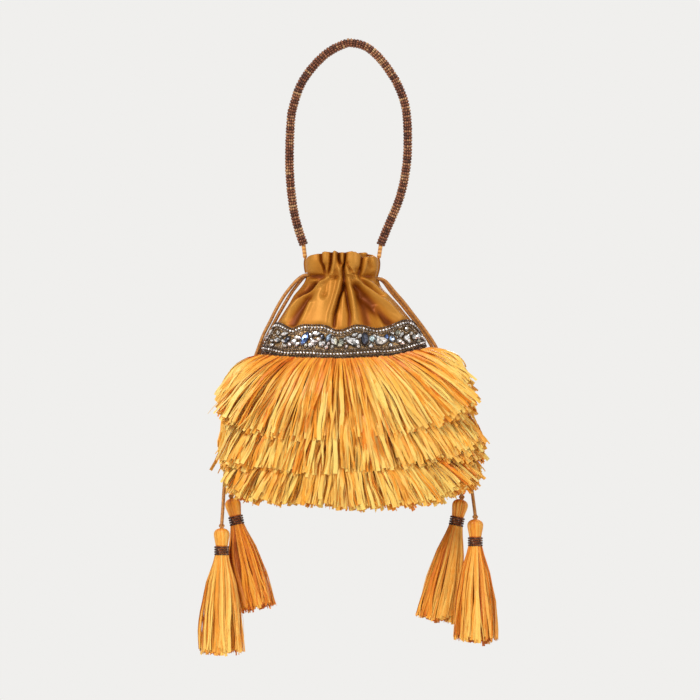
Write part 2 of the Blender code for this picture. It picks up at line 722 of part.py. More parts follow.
def build():
    """Every piece, on empties that stand on the joints' axes."""
    clear_scene()
    parts = bpy.data.collections.new("potli_pouch")
    bpy.context.scene.collection.children.link(parts)
    satin = make_material("mustard_satin", (0.58, 0.27, 0.05), 0.38)
    cotton = make_material("lining_cotton", (0.62, 0.38, 0.16), 0.80)
    cord = make_material("satin_cord", (0.55, 0.21, 0.03), 0.45)
    raffia = make_material("raffia_fringe", (0.86, 0.44, 0.08), 0.35)
    thread = make_material("tassel_thread", (0.80, 0.36, 0.06), 0.45)
    copper = make_material("copper_beads", (0.20, 0.09, 0.04), 0.25, 0.6)
    silver = make_material("silver_beads", (0.60, 0.58, 0.52), 0.20, 0.9)
    gold = make_material("band_gold", (0.42, 0.27, 0.08), 0.35, 0.7)

    swing = make_empty("pouch_swing", Vector((0.0, 0.0, hinge_line()[2])), 0.0, None, parts)
    for obj, material in zip(make_handle(), (cord, copper)):
        place(obj, material, None, parts)
    place(make_satin(), satin, swing, parts)
    place(make_lining(), cotton, swing, parts)
    place(make_drawstring_ring("left_drawstring_ring", 1), cord, swing, parts)
    place(make_drawstring_ring("right_drawstring_ring", -1), cord, swing, parts)
    for tier in FRINGE_TIERS:
        for front in (True, False):
            place(make_fringe(tier, front), raffia, swing, parts)
    for obj, material in zip(make_band(), (gold, silver, silver)):
        place(obj, material, swing, parts)
    for row in CRYSTALS:
        tint = row[0].split("_")[0]
        colour = CRYSTAL_COLOURS.get(tint, CRYSTAL_COLOURS["other"])
        place(make_crystal(row), make_material("crystal_" + row[0], colour, 0.05), swing, parts)
    for tassel in TASSELS:
        label, pivot_x, pivot_z, side, length, tilt = tassel
        place(make_tail(f"{label}_tail", tassel), cord, swing, parts)
        pivot = Vector((pivot_x, side * TASSEL_Y, pivot_z))
        empty = make_empty(f"{label}_tassel_swing", pivot, tilt, swing, parts)
        pieces = (
            (make_tassel_head(f"{label}_tassel_head"), thread),
            (make_tassel_collar(f"{label}_tassel_collar"), copper),
            (make_tassel_skirt(f"{label}_tassel_skirt", length), thread),
        )
        for obj, material in pieces:
            obj.scale = (1.0, TASSEL_FLATNESS, 1.0)
            place(obj, material, empty, parts, local=True)


build()
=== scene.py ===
"""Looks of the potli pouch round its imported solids: gathered satin, raffia fringe, crystal band, beads,
drawstrings and tassels. Metres, +Z up, front faces -Y, origin at the underside of the handle's top."""

import math

import bpy
import numpy as np
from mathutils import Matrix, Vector


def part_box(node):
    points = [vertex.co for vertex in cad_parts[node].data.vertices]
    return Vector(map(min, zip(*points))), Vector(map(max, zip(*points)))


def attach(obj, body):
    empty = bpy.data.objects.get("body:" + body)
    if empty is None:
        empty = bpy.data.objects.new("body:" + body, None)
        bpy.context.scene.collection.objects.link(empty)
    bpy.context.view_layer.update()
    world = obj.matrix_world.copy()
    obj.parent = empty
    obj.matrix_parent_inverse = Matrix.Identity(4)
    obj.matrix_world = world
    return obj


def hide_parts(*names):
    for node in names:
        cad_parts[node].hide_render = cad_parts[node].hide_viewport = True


SEED = 11

# The photograph: metres in a pixel, the pixel of the origin, and pixels along its side
PIXEL = 0.00087
ORIGIN_PIXEL = (345.0, 48.1)
IMAGE_PIXELS = 700

# Camera and studio
CAMERA_DISTANCE = 4.0
SENSOR = 0.036
BACKDROP_COLOUR = (0.871, 0.863, 0.847)
FLOOR_Z = -0.70
FLOOR_HALF_SIDE = 1.6
AMBIENT_COLOUR = (0.90, 0.94, 1.0)
AMBIENT_STRENGTH = 0.37
LAMP_TARGET = (0.0, 0.0, -0.28)

# Lamps: place, side, watts and colour
LAMPS = {
    "key": ((-2.08, -3.04, 2.25), 1.44, 125.0, (1.0, 0.985, 0.96)),
    "fill": ((2.88, -2.72, 0.49), 1.92, 43.5, (1.0, 1.0, 1.0)),
    "back": ((0.96, 3.2, 1.93), 1.92, 77.0, (1.0, 1.0, 1.0)),
}

# Handle: x and z of its rope between the two sewn ends
HANDLE_ENDS = ((-0.0348, -0.1815), (0.0296, -0.1815))
HANDLE_ROUTE = (
    (-0.0357, -0.1720),
    (-0.0406, -0.1574),
    (-0.0452, -0.1374),
    (-0.0482, -0.1041),
    (-0.0472, -0.0641),
    (-0.0439, -0.0468),
    (-0.0373, -0.0295),
    (-0.0266, -0.0149),
    (-0.0146, -0.0036),
    (0.0000, 0.0038),
    (0.0067, 0.0044),
    (0.0173, 0.0017),
    (0.0279, -0.0063),
    (0.0386, -0.0196),
    (0.0466, -0.0335),
    (0.0526, -0.0508),
    (0.0546, -0.0750),
    (0.0535, -0.1020),
    (0.0479, -0.1294),
    (0.0359, -0.1587),
    (0.0299, -0.1745),
)
HANDLE_RADIUS = 0.0040
SLEEVE_INSET = 0.0112
BEAD_ROW_PITCH = 0.0026
BEADS_ROUND = 12
HANDLE_BEAD_HEIGHT = 0.0009
HANDLE_BEAD_SHIFT = 0.00008
HANDLE_BEAD_UNEVENNESS = 0.05
HANDLE_BEAD_OVERLAP = 1.02
HANDLE_THREAD_GAP = 0.0001

# Satin: height, half width, half depth and sideways lean of the smooth pouch
SATIN_SECTIONS = (
    (-0.1780, 0.0305, 0.0200, -0.0026),
    (-0.1860, 0.0325, 0.0208, -0.0026),
    (-0.1915, 0.0322, 0.0196, -0.0026),
    (-0.1950, 0.0314, 0.0174, -0.0026),
    (-0.2030, 0.0314, 0.0174, -0.0026),
    (-0.2080, 0.0345, 0.0184, -0.0034),
    (-0.2150, 0.0415, 0.0206, -0.0030),
    (-0.2218, 0.0465, 0.0230, -0.0016),
    (-0.2370, 0.0578, 0.0280, 0.0000),
    (-0.2540, 0.0668, 0.0318, 0.0000),
    (-0.2660, 0.0720, 0.0335, 0.0000),
    (-0.3090, 0.0860, 0.0370, 0.0000),
    (-0.3400, 0.0880, 0.0360, 0.0000),
    (-0.3650, 0.0800, 0.0280, 0.0000),
    (-0.3800, 0.0600, 0.0160, 0.0000),
    (-0.3860, 0.0340, 0.0070, 0.0000),
    (-0.3875, 0.0280, 0.0001, 0.0000),
)
SECTION_SMOOTHING = 0.004
CHANNEL_Z = -0.1990
SATIN_COLUMNS = 440
HEM_INSET = 0.0013
SLIT_HALF_WIDTH = 0.0040
SLIT_HALF_HEIGHT = 0.0020

# Top edge of the heading, in photograph pixels
RIM_PIXELS = (
    (303.0, 258.6),
    (306.9, 257.0),
    (313.2, 256.0),
    (319.0, 254.3),
    (324.7, 252.6),
    (331.0, 253.2),
    (335.0, 251.7),
    (338.5, 253.5),
    (344.8, 253.5),
    (351.7, 252.3),
    (359.1, 254.9),
    (364.3, 258.0),
    (373.5, 257.5),
    (380.0, 259.0),
)

# Folds of the front: height, half width in pixels, and route in photograph pixels from the top down
# Their heights, as drawn, also set the satin's tone: painted shade in the valleys, painted highlight on the
# crests
FOLDS = (
    (0.0012, 6.0, ((312.5, 252), (312, 272))),
    (-0.0024, 1.6, ((320, 250), (321, 262), (325, 272))),
    (0.0012, 4.0, ((325.5, 250), (326, 264), (328, 272))),
    (-0.0026, 1.5, ((331.6, 250), (331, 262), (329, 274))),
    (0.0016, 2.2, ((335, 250), (334, 264), (332, 275))),
    (-0.0028, 1.5, ((338.2, 250), (339, 260), (340.6, 264))),
    (0.0012, 1.8, ((342.3, 250), (342, 264))),
    (-0.0026, 1.3, ((346, 250), (345, 260), (344.1, 266))),
    (0.0018, 6.5, ((353.5, 250), (353.5, 266), (352, 273))),
    (-0.0020, 1.2, ((347, 265), (350.5, 270), (354.5, 276))),
    (-0.0022, 1.6, ((363.5, 250), (362, 262), (359.5, 274))),
    (0.0010, 1.8, ((366.5, 258), (364.5, 268), (362, 275))),
    (0.0012, 5.5, ((371.5, 250), (373, 270))),
    (-0.0012, 2.2, ((369, 262), (371, 268))),
    (0.0027, 3.6, ((331, 275), (317, 287), (301, 299), (291, 311), (283, 323))),
    (-0.0020, 5.0, ((322, 279), (309, 290), (297, 296))),
    (-0.0024, 5.5, ((300, 281), (289, 298), (276, 318))),
    (-0.0025, 5.4, ((314, 285), (307, 297), (300, 311), (294, 325))),
    (0.0016, 3.2, ((310, 303), (304, 316), (297, 329))),
    (0.0014, 11.0, ((323, 281), (322, 300), (320, 326))),
    (-0.0010, 3.0, ((327, 281), (326, 291), (324, 297))),
    (0.0024, 2.3, ((339, 268), (340.6, 278), (338.2, 290), (334.5, 304), (331, 314), (329, 326))),
    (-0.0030, 1.7, ((343.9, 268), (344.2, 280), (342.4, 290), (338.9, 299), (335, 314), (334, 326))),
    (0.0010, 2.6, ((343.6, 294), (342.6, 327))),
    (-0.0022, 1.8, ((345.4, 286), (347.4, 299), (350, 314), (349.4, 326))),
    (0.0025, 2.6, ((346.4, 268), (349.2, 283), (352.6, 299), (356.5, 326))),
    (0.0030, 3.6, ((351.5, 274), (362, 285.5), (375.6, 297), (389, 308), (402, 318))),
    (-0.0028, 6.2, ((357, 286), (366, 298), (376, 311), (390, 325))),
    (-0.0018, 4.4, ((360, 296), (364, 310), (367, 326))),
    (0.0014, 2.6, ((375.5, 308), (382.5, 328))),
    (-0.0016, 2.8, ((361, 280), (370, 288), (381, 297))),
    (0.0018, 3.2, ((365, 279), (374, 287), (384, 297))),
    (0.0010, 8.0, ((386, 297), (394, 318))),
)
# Hollows of the front: centre pixel, half sizes in pixels, and depth. They dent the satin and also darken it
# with painted shade
HOLLOWS = (
    (315.5, 276.8, 7.5, 1.8, 0.0030),
    (337.0, 277.5, 5.0, 1.6, 0.0008),
    (368.0, 276.8, 6.0, 1.7, 0.0020),
    (355.0, 274.0, 4.0, 1.4, 0.0010),
    (324.0, 294.7, 3.2, 2.2, 0.0006),
    (325.8, 265.5, 2.4, 3.6, 0.0013),
    (356.5, 270.5, 3.0, 3.4, 0.0012),
)

# How all folds are drawn: their fades and ends in pixels, and a factor on their heights
FOLD_FADE = 5.0
FOLD_DEPTH = 1.6
FOLD_FLATTENING = 30.0
FLATTENED_SHARE = 0.55
SIDE_FADE = (0.05, 0.45)
FOLD_END_GAP = 2
FOLD_END_FADE = (-6, 2)
FLAT_BEFORE_END = 4
BACK_FOLD_END = 352.0

# The sewn folds' greatest depth: at the channel, and what is added past its reach. Tone of a level place, and
# the height that takes it from painted shade in a valley to painted highlight on a crest
CHANNEL_REACH = (0.0035, 0.0091)
CHANNEL_FOLD_DEPTH = 0.0015
FREE_FOLD_DEPTH = 0.0060
PAINTED_SHADE_LEVEL = 0.56
PAINTED_SHADE_DEPTH = 0.0060

# Ripples at the two sides of the neck, how strongly painted shade follows them, and the pinch at the
# drawstrings
SIDE_RIPPLE = 0.0010
SIDE_RIPPLES_ROUND = 14
SIDE_RIPPLE_FADE_Z = (-0.196, -0.215)
SIDE_RIPPLE_PAINTED_SHADE = 3.5
PINCH = 0.0009
PINCH_REACH = 0.0030

# The heading's rim: the section that places it across, and how its line fades out at the sides
RIM_SECTION_Z = -0.182
RIM_SIDE_FADE = (0.25, 0.6)

# Rows of the satin's grid, each as first value, last value and count: shares of the way from the heading's
# edge to the channel, up the inside and down the outside, then heights of the folds, the plain part and the
# bottom. Over the edge: rise above it and share of the hem's inset
HEM_SHARES = (0.62, 0.04, 9)
RIM_CURL = ((0.00045, 0.75), (0.00060, 0.45), (0.00040, 0.15))
HEADING_SHARES = (0.015, 1.0, 44)
FOLDED_Z = (CHANNEL_Z - 0.0006, -0.272, 116)
PLAIN_Z = (-0.276, -0.380, 15)
BOTTOM_Z = (-0.3815, -0.3875, 6)

# Lining
LINING_TOP_Z = -0.1852
LINING_INSET = 0.0037
LINING_CHANNEL_DIP = 0.0021
LINING_BOTTOM_Z = -0.3840
LINING_COLUMNS = 160
LINING_ROWS = 90
LINING_DIP_REACH = 0.0045
LINING_CRUMPLE = 0.0005
LINING_WAVES = ((11, 60), (7, 240))
LINING_LEAST_HALF_WIDTH = 0.001
LINING_LEAST_HALF_DEPTH = 0.0004
LINING_MAP_RADIUS = 0.06

# Drawstrings: turns in the channel, and each tail's way from its slit in the satin to its knot
CORD_DIAMETER = 0.0030
RING_HALF_WIDTH = 0.0272
RING_HALF_DEPTH = 0.0132
RING_LIFT = 0.00165
RING_POINTS = 90
TAIL_SPACING = 0.0025
TASSEL_Y = 0.0090
KNOT_RADIUS = 0.0026
TAIL_END_SHARE = 0.6
TAIL_STARTS = {
    "left_front": (-0.0316, -0.0017, -0.1974),
    "left_back": (-0.0316, 0.0017, -0.1974),
    "right_front": (0.0264, -0.0017, -0.2006),
    "right_back": (0.0264, 0.0017, -0.2006),
}
TAIL_ROUTES = {
    "left_front": (
        (-0.0352, -0.0017, -0.1976),
        (-0.0398, -0.0016, -0.2003),
        (-0.0448, -0.0015, -0.2052),
        (-0.0526, -0.0012, -0.2150),
        (-0.0592, -0.0011, -0.2260),
        (-0.0653, -0.0011, -0.2383),
        (-0.0709, -0.0011, -0.2493),
        (-0.0759, -0.0011, -0.2626),
        (-0.0783, -0.0011, -0.2693),
        (-0.0835, -0.0011, -0.2850),
        (-0.0910, -0.0011, -0.3050),
        (-0.0985, -0.0011, -0.3300),
        (-0.1025, -0.0011, -0.3500),
        (-0.1052, -0.0011, -0.3840),
        (-0.1060, -0.0045, -0.3980),
    ),
    "left_back": (
        (-0.0346, 0.0017, -0.1984),
        (-0.0374, 0.0016, -0.2010),
        (-0.0402, 0.0015, -0.2044),
        (-0.0462, 0.0013, -0.2122),
        (-0.0523, 0.0011, -0.2222),
        (-0.0583, 0.0011, -0.2327),
        (-0.0645, 0.0011, -0.2444),
        (-0.0704, 0.0011, -0.2560),
        (-0.0755, 0.0011, -0.2694),
        (-0.0803, 0.0011, -0.2850),
        (-0.0874, 0.0011, -0.3050),
        (-0.0905, 0.0011, -0.3300),
        (-0.0927, 0.0013, -0.3520),
        (-0.0955, 0.0040, -0.3720),
        (-0.0980, 0.0072, -0.3820),
    ),
    "right_front": (
        (0.0312, -0.0017, -0.2008),
        (0.0360, -0.0016, -0.2034),
        (0.0423, -0.0014, -0.2110),
        (0.0512, -0.0012, -0.2212),
        (0.0590, -0.0011, -0.2313),
        (0.0675, -0.0011, -0.2424),
        (0.0753, -0.0011, -0.2535),
        (0.0800, -0.0011, -0.2621),
        (0.0814, -0.0011, -0.2693),
        (0.0841, -0.0011, -0.2850),
        (0.0920, -0.0011, -0.3050),
        (0.0995, -0.0011, -0.3300),
        (0.1045, -0.0011, -0.3500),
        (0.1095, -0.0011, -0.3790),
        (0.1115, -0.0044, -0.3930),
    ),
    "right_back": (
        (0.0305, 0.0017, -0.2010),
        (0.0342, 0.0016, -0.2040),
        (0.0374, 0.0015, -0.2085),
        (0.0414, 0.0013, -0.2138),
        (0.0482, 0.0012, -0.2216),
        (0.0548, 0.0011, -0.2299),
        (0.0606, 0.0011, -0.2372),
        (0.0658, 0.0011, -0.2444),
        (0.0719, 0.0011, -0.2533),
        (0.0765, 0.0011, -0.2621),
        (0.0778, 0.0011, -0.2693),
        (0.0803, 0.0011, -0.2850),
        (0.0876, 0.0011, -0.3050),
        (0.0912, 0.0011, -0.3300),
        (0.0945, 0.0013, -0.3520),
        (0.0975, 0.0035, -0.3710),
        (0.1000, 0.0068, -0.3810),
    ),
}

# Fringe: a front or back length of strands, which lean together in clumps. A spread is a standard deviation
FRINGE_STRANDS = 1600
FRINGE_ROWS = 10
FRINGE_END_ANGLE = 0.03
CLUMPS = 64
CLUMP_PULL = 0.62
FAN_POWER = 1.45
TIP_ROUNDING = 0.8
ROOT_UNEVENNESS = 0.0016
CLUMP_LENGTH_SPREAD = 0.018
STRAND_LENGTH_SPREAD = 0.020
LONGEST_CUT = 0.11
STRAY_SHARE = 0.22
STRAY_SPREAD = 0.0070
ASIDE_SPREAD = 0.0022
END_PULL = 0.004
BOW_LEAST = 0.0022
BOW_BY_LAYER = 0.0040
BOW_BY_CHANCE = 0.0016
BOW_EARLINESS = 0.75
HEADING_RISE = 0.25
CURL_SPREAD = 0.0036
SIDEWAYS_WAVER = 0.0007
OUTWARD_WAVER = 0.0009
WAVER_TURNS = (5, 13)
SIDE_GAP = 0.0026
ROOT_TWIST_SPREAD = 0.5
TIP_TWIST_SPREAD = 0.9
STRAND_TONE_SPREAD = 0.17
CLUMP_TONE_SPREAD = 0.08
ROOT_WIDTH = 0.62
# Painted shade and light of the strands: darker roots and inner layers, lighter outer layers and tips
ROOT_PAINTED_SHADE = 0.46
INNER_PAINTED_SHADE = 0.04
LAYER_PAINTED_LIGHT = 0.62
TIP_PAINTED_LIGHT = (0.40, 0.34)

# Fringe tiers: where the strands are sewn, how far the inner and outer ones stand out at their tips, and the
# lines of the inner and outer strands' tips, in photograph pixels from the left side to the right
FRINGE_TIERS = {
    "upper": {
        "header": ((262, 355.0), (300, 357.2), (345, 358.2), (390, 355.8), (428, 347.8)),
        "depth": (0.043, 0.0545),
        "inner": (
            (221, 420), (241, 430), (262, 438), (285, 442),
            (328, 443), (374, 438), (433, 431), (479, 414),
        ),
        "outer": (
            (216, 390), (220, 411), (241, 426), (285, 439),
            (374, 436), (433, 424), (474, 400), (467, 366),
        ),
    },
    "middle": {
        "header": ((254, 402.5), (345, 403.5), (436, 401.0)),
        "depth": (0.043, 0.0505),
        "inner": ((218, 468), (245, 471), (301, 474), (358, 473), (400, 469), (447, 462), (486, 462)),
        "outer": ((216, 446), (226, 460), (301, 471), (358, 470), (400, 464), (447, 455), (485, 436)),
    },
    "lower": {
        "header": ((254, 446.5), (345, 448.0), (436, 446.0)),
        "depth": (0.037, 0.0475),
        "inner": (
            (229, 493), (241, 500), (275, 504), (316, 506),
            (354, 510), (388, 509), (437, 504), (478, 488),
        ),
        "outer": (
            (221, 470), (241, 493), (275, 500), (316, 502),
            (354, 505), (388, 504), (437, 498), (484, 468),
        ),
    },
}
HEADER_STAND = 0.0040
STRAND_WIDTHS = (0.0013, 0.0046)
TAPE_HALF_HEIGHT = 0.0028
TAPE_LIFT = 0.0004
TAPE_BULGE = (0.2, 1.0, 1.2, 1.0, 0.2)
TAPE_COLUMNS = 160
TAPE_LEVEL_Z = -0.262

# Band: centre line of its top edging and its bottom edge, in photograph pixels
BAND_TOP_PIXELS = (
    (264.6, 347.0),
    (269.2, 337.0),
    (275.0, 327.2),
    (279.7, 326.0),
    (284.0, 328.0),
    (289.4, 331.0),
    (294.0, 332.5),
    (300.3, 329.0),
    (304.4, 327.8),
    (314.0, 328.2),
    (321.3, 328.0),
    (326.5, 329.2),
    (331.3, 331.8),
    (336.5, 333.4),
    (343.0, 333.2),
    (349.0, 330.8),
    (353.3, 328.7),
    (358.8, 328.2),
    (362.7, 328.7),
    (367.3, 330.2),
    (375.7, 332.0),
    (383.3, 330.8),
    (390.3, 328.7),
    (398.2, 325.4),
    (402.0, 324.0),
    (406.6, 323.4),
    (411.0, 325.0),
    (417.5, 331.5),
    (425.5, 341.0),
)
BAND_BOTTOM_PIXELS = (
    (263.0, 349.3),
    (272.2, 350.5),
    (278.0, 352.0),
    (287.0, 353.8),
    (297.5, 353.3),
    (312.4, 353.6),
    (323.9, 354.6),
    (341.0, 354.6),
    (361.8, 353.2),
    (373.9, 352.3),
    (387.3, 352.0),
    (394.5, 351.0),
    (400.6, 349.9),
    (408.5, 347.7),
    (418.8, 344.7),
    (426.0, 342.4),
)
BAND_LIFT = 0.0007
BAND_CLOTH_COLUMNS = 200
BAND_CLOTH_ROWS = 16
BAND_CLOTH_OVERHANG = (-0.08, 1.16)
BAND_LINE_POINTS = 400
BAND_LINE_SMOOTHING = 7
EDGING_BEAD_LENGTH = 0.42
EDGING_BEAD_LIFT = 0.85

# Bead rows of each edging: offset below its centre line, bead radius, pitch and kind
TOP_BEAD_ROWS = (
    (-0.0023, 0.0008, 0.0017, "dark"),
    (0.0000, 0.0013, 0.0029, "silver"),
    (0.0022, 0.0008, 0.0017, "bronze"),
)
BOTTOM_BEAD_ROWS = (
    (-0.0041, 0.0006, 0.0013, "bronze"),
    (-0.0025, 0.0008, 0.0017, "dark"),
    (-0.0003, 0.0013, 0.0029, "silver"),
    (0.0019, 0.0008, 0.0017, "dark"),
    (0.0034, 0.0008, 0.0019, "copper"),
)

# Larger crystals, each with a node of its own: name, outline, length, width, turn in degrees and tint
CRYSTALS = (
    ("grey_oval_left", "oval", 0.0060, 0.0036, 80, "grey"),
    ("white_oval_left", "oval", 0.0058, 0.0040, 0, "clear"),
    ("pink_round_left", "oval", 0.0044, 0.0040, 0, "pink"),
    ("dark_marquise_left", "marquise", 0.0066, 0.0038, 55, "navy"),
    ("clear_marquise_left", "marquise", 0.0062, 0.0034, 15, "clear"),
    ("clear_round_left", "oval", 0.0048, 0.0046, 0, "clear"),
    ("grey_round_left", "oval", 0.0044, 0.0040, 0, "grey"),
    ("blue_marquise", "marquise", 0.0112, 0.0056, 65, "blue"),
    ("clear_pear_left", "pear", 0.0062, 0.0048, 20, "pink"),
    ("clear_marquise_top", "marquise", 0.0070, 0.0038, 0, "clear"),
    ("clear_pear_middle", "pear", 0.0060, 0.0044, 20, "clear"),
    ("pale_blue_marquise", "marquise", 0.0070, 0.0038, 60, "pale_blue"),
    ("cream_marquise", "marquise", 0.0066, 0.0036, 100, "cream"),
    ("grey_green_oval", "oval", 0.0056, 0.0042, 90, "olive"),
    ("large_clear_pear", "pear", 0.0116, 0.0060, 160, "clear"),
    ("navy_oval", "oval", 0.0102, 0.0060, 90, "navy"),
    ("aqua_round", "oval", 0.0052, 0.0052, 0, "aqua"),
    ("large_grey_pear", "pear", 0.0104, 0.0066, 5, "grey"),
    ("lavender_round", "oval", 0.0052, 0.0050, 0, "pale_blue"),
    ("olive_round", "oval", 0.0048, 0.0044, 0, "olive"),
    ("grey_oval_right", "oval", 0.0054, 0.0038, 0, "grey"),
    ("clear_pear_right", "pear", 0.0064, 0.0050, 50, "clear"),
    ("white_round_right", "oval", 0.0048, 0.0046, 0, "clear"),
)
# Smaller stones between them: pixel, outline, length, width, turn in degrees and tint
SMALL_STONES = (
    ((273.5, 345.6), "oval", 0.0036, 0.0030, 20, "clear"),
    ((284.6, 341.6), "marquise", 0.0048, 0.0026, 150, "clear"),
    ((298.6, 344.6), "marquise", 0.0052, 0.0030, 40, "clear"),
    ((300.4, 338.6), "oval", 0.0036, 0.0030, 0, "pink"),
    ((311.0, 345.6), "oval", 0.0036, 0.0034, 0, "clear"),
    ((312.8, 340.6), "marquise", 0.0050, 0.0028, 120, "clear"),
    ((333.6, 341.6), "pear", 0.0054, 0.0040, 130, "clear"),
    ((339.6, 345.6), "oval", 0.0044, 0.0034, 0, "cream"),
    ((346.6, 338.8), "marquise", 0.0056, 0.0028, 30, "clear"),
    ((354.4, 335.2), "marquise", 0.0056, 0.0030, 25, "clear"),
    ((359.6, 336.4), "marquise", 0.0050, 0.0028, 60, "clear"),
    ((358.2, 346.8), "oval", 0.0032, 0.0030, 0, "grey"),
    ((370.4, 346.0), "oval", 0.0038, 0.0036, 0, "clear"),
    ((374.0, 336.6), "oval", 0.0034, 0.0032, 0, "grey"),
    ((377.8, 337.8), "marquise", 0.0046, 0.0026, 150, "clear"),
    ((385.6, 337.6), "marquise", 0.0052, 0.0032, 70, "blue"),
    ((389.6, 345.4), "oval", 0.0034, 0.0032, 0, "clear"),
    ((401.0, 343.2), "oval", 0.0038, 0.0036, 0, "pink"),
    ((400.4, 335.2), "marquise", 0.0056, 0.0030, 45, "clear"),
    ((407.4, 341.4), "marquise", 0.0050, 0.0028, 110, "clear"),
    ((416.2, 337.0), "pear", 0.0052, 0.0040, 60, "clear"),
    ((416.8, 341.8), "oval", 0.0034, 0.0030, 0, "olive"),
)

# Colours of the stones
TINTS = {
    "clear": (0.88, 0.83, 0.79),
    "grey": (0.62, 0.56, 0.50),
    "pink": (0.84, 0.66, 0.62),
    "navy": (0.012, 0.018, 0.055),
    "blue": (0.035, 0.13, 0.42),
    "pale_blue": (0.46, 0.60, 0.84),
    "cream": (0.80, 0.72, 0.54),
    "olive": (0.36, 0.36, 0.27),
    "aqua": (0.62, 0.80, 0.83),
}

# Slots of the larger crystals by tint. The other tints go to crystal_tinted
CRYSTAL_SLOTS = {
    "navy": "crystal_blue",
    "blue": "crystal_blue",
    "clear": "crystal_clear",
    "grey": "crystal_clear",
}

# The smallest stones and the filling beads, scattered over the band: tries, margins to its edges and sizes
SCATTER_TRIES = 1500
SCATTER_MARGINS = (0.0046, 0.0062)
SCATTER_REACH = 0.0017
SCATTER_LENGTHS = (0.0032, 0.0044)
SCATTER_WIDTHS = (0.66, 0.9)
SCATTER_TINTS = ("clear", "clear", "clear", "grey", "grey", "pink", "cream", "olive", "navy")
FILLING_RADIUS = 0.0007
FILLING_TRIES = 2600
FILLING_MARGINS = (0.0036, 0.0056)
FILLING_SPACING = 2.1
FILLING_LIFT = 0.7

# Cut of the stones: sides, growth over the listed size, and height, which narrow stones have less of
STONE_SIDES = 10
STONE_GROWTH = 1.14
STONE_HEIGHT = 0.0030
LEAST_STONE_HEIGHT = 0.62
FULL_HEIGHT_WIDTH = 0.012
MARQUISE_POINT = 0.5
PEAR_TAPER = 0.38

# Rings of a stone: share of its outline and of its height. Rings of its rim: growth past the wall and height
STONE_LEVELS = ((0.86, 0.0), (1.0, 0.34), (0.80, 0.74), (0.52, 0.97), (0.02, 1.0))
SETTING_WALL = 0.0007
SETTING_LEVELS = ((0.06, 0.0), (0.03, 0.0012), (-0.06, 0.0015), (-0.12, 0.0006))

# Tassels: pivot x and z, side of the pouch, length and tilt in degrees
TASSELS = {
    "left_front": (-0.1070, -0.4158, -1, 0.110, 0.0),
    "left_back": (-0.0992, -0.3905, 1, 0.099, -12.0),
    "right_front": (0.1131, -0.4080, -1, 0.106, 0.0),
    "right_back": (0.1018, -0.3914, 1, 0.109, 12.0),
}
# Painted shade of each tassel: the two back ones, and a little the right front one, are darker than the left
# front one
TASSEL_PAINTED_SHADES = {"left_front": 0.0, "left_back": -0.17, "right_front": -0.07, "right_back": -0.12}
TASSEL_FLATNESS = 0.44
HEAD_LENGTH = 0.0170
HEAD_RADIUS = 0.0066
NECK_RADIUS = 0.0052
COLLAR_RADIUS = 0.0066
COLLAR_LENGTH = 0.0082
COLLAR_STAND = 0.0007
COLLAR_ROWS = 4
COLLAR_BEADS = 20
SKIRT_RADIUS = 0.0182
SKIRT_STRANDS = 420
SKIRT_LOCKS = 15
SKIRT_STRAND_WIDTHS = (0.0012, 0.0034)
HEAD_THREADS = 40
HEAD_DOME = 0.34
HEAD_TOP = 0.0014
HEAD_THREAD_TURN = 0.16
KNOT_CORD_RADIUS = 0.0009
KNOT_INSET = 0.0008
COLLAR_BEAD_RADIUS = 0.0009
COLLAR_BEAD_LENGTH = 0.46

# Skirt's radius as shares of its widest, at shares of its length, and how its locks and strands vary
SKIRT_PROFILE = ((0.0, 0.10, 0.30, 0.62, 1.0), (0.30, 0.40, 0.66, 0.90, 1.0))
SKIRT_ROWS = 11
SKIRT_TUCK = 0.0012
SKIRT_INNER_SHARE = 0.72
LOCK_PULL = 0.7
LOCK_SWELL = 0.07
LOCK_TURN_SPREAD = 0.10
SKIRT_TURN_SPREAD = 0.09
SKIRT_RADIUS_SPREAD = 0.035
SKIRT_WAVER = 0.0006
SKIRT_WAVER_TURN = 0.05
LOCK_HEM_SPREAD = 0.0016
SKIRT_HEM_SPREAD = 0.0012
SKIRT_HEM_RISE = 0.0012
SKIRT_TONE_SPREAD = 0.18
LOCK_TONE_SPREAD = 0.15
SKIRT_TOP_WIDTH = 0.55


# Curves and directions


def smooth_step(value, low, high):
    """0 below low, 1 above high, and smooth in between."""
    share = np.clip((value - low) / (high - low), 0.0, 1.0)
    return share * share * (3 - 2 * share)


def unit(vectors):
    """The vectors at length 1."""
    return vectors / np.maximum(np.linalg.norm(vectors, axis=-1, keepdims=True), 1e-12)


def photo_x(pixel):
    """Metres to the right of the origin for a pixel of the photograph."""
    return (np.asarray(pixel, float) - ORIGIN_PIXEL[0]) * PIXEL


def photo_z(pixel):
    """Metres above the origin for a pixel of the photograph."""
    return (ORIGIN_PIXEL[1] - np.asarray(pixel, float)) * PIXEL


def even_points(points, spacing=None, count=None):
    """Points at an even spacing on straight runs between the given ones."""
    points = np.asarray(points, float)
    travelled = np.concatenate([[0], np.cumsum(np.linalg.norm(np.diff(points, axis=0), axis=1))])
    if count is None:
        count = max(2, round(travelled[-1] / spacing) + 1)
    even = np.linspace(0, travelled[-1], count)
    return np.stack([np.interp(even, travelled, points[:, axis]) for axis in range(3)], axis=1)


def smooth_route(points, spacing):
    """Points at an even spacing on the Catmull-Rom curve through the given ones."""
    knots = np.array(points, float)
    padded = np.vstack([2 * knots[0] - knots[1], knots, 2 * knots[-1] - knots[-2]])
    t = np.linspace(0, 1, 24, endpoint=False)[:, None]
    pieces = []
    for p0, p1, p2, p3 in zip(padded, padded[1:], padded[2:], padded[3:]):
        turn = 2 * p0 - 5 * p1 + 4 * p2 - p3
        lift = 3 * p1 - p0 - 3 * p2 + p3
        pieces.append(0.5 * (2 * p1 + (p2 - p0) * t + turn * t**2 + lift * t**3))
    return even_points(np.vstack([*pieces, knots[-1:]]), spacing)


# Mesh building


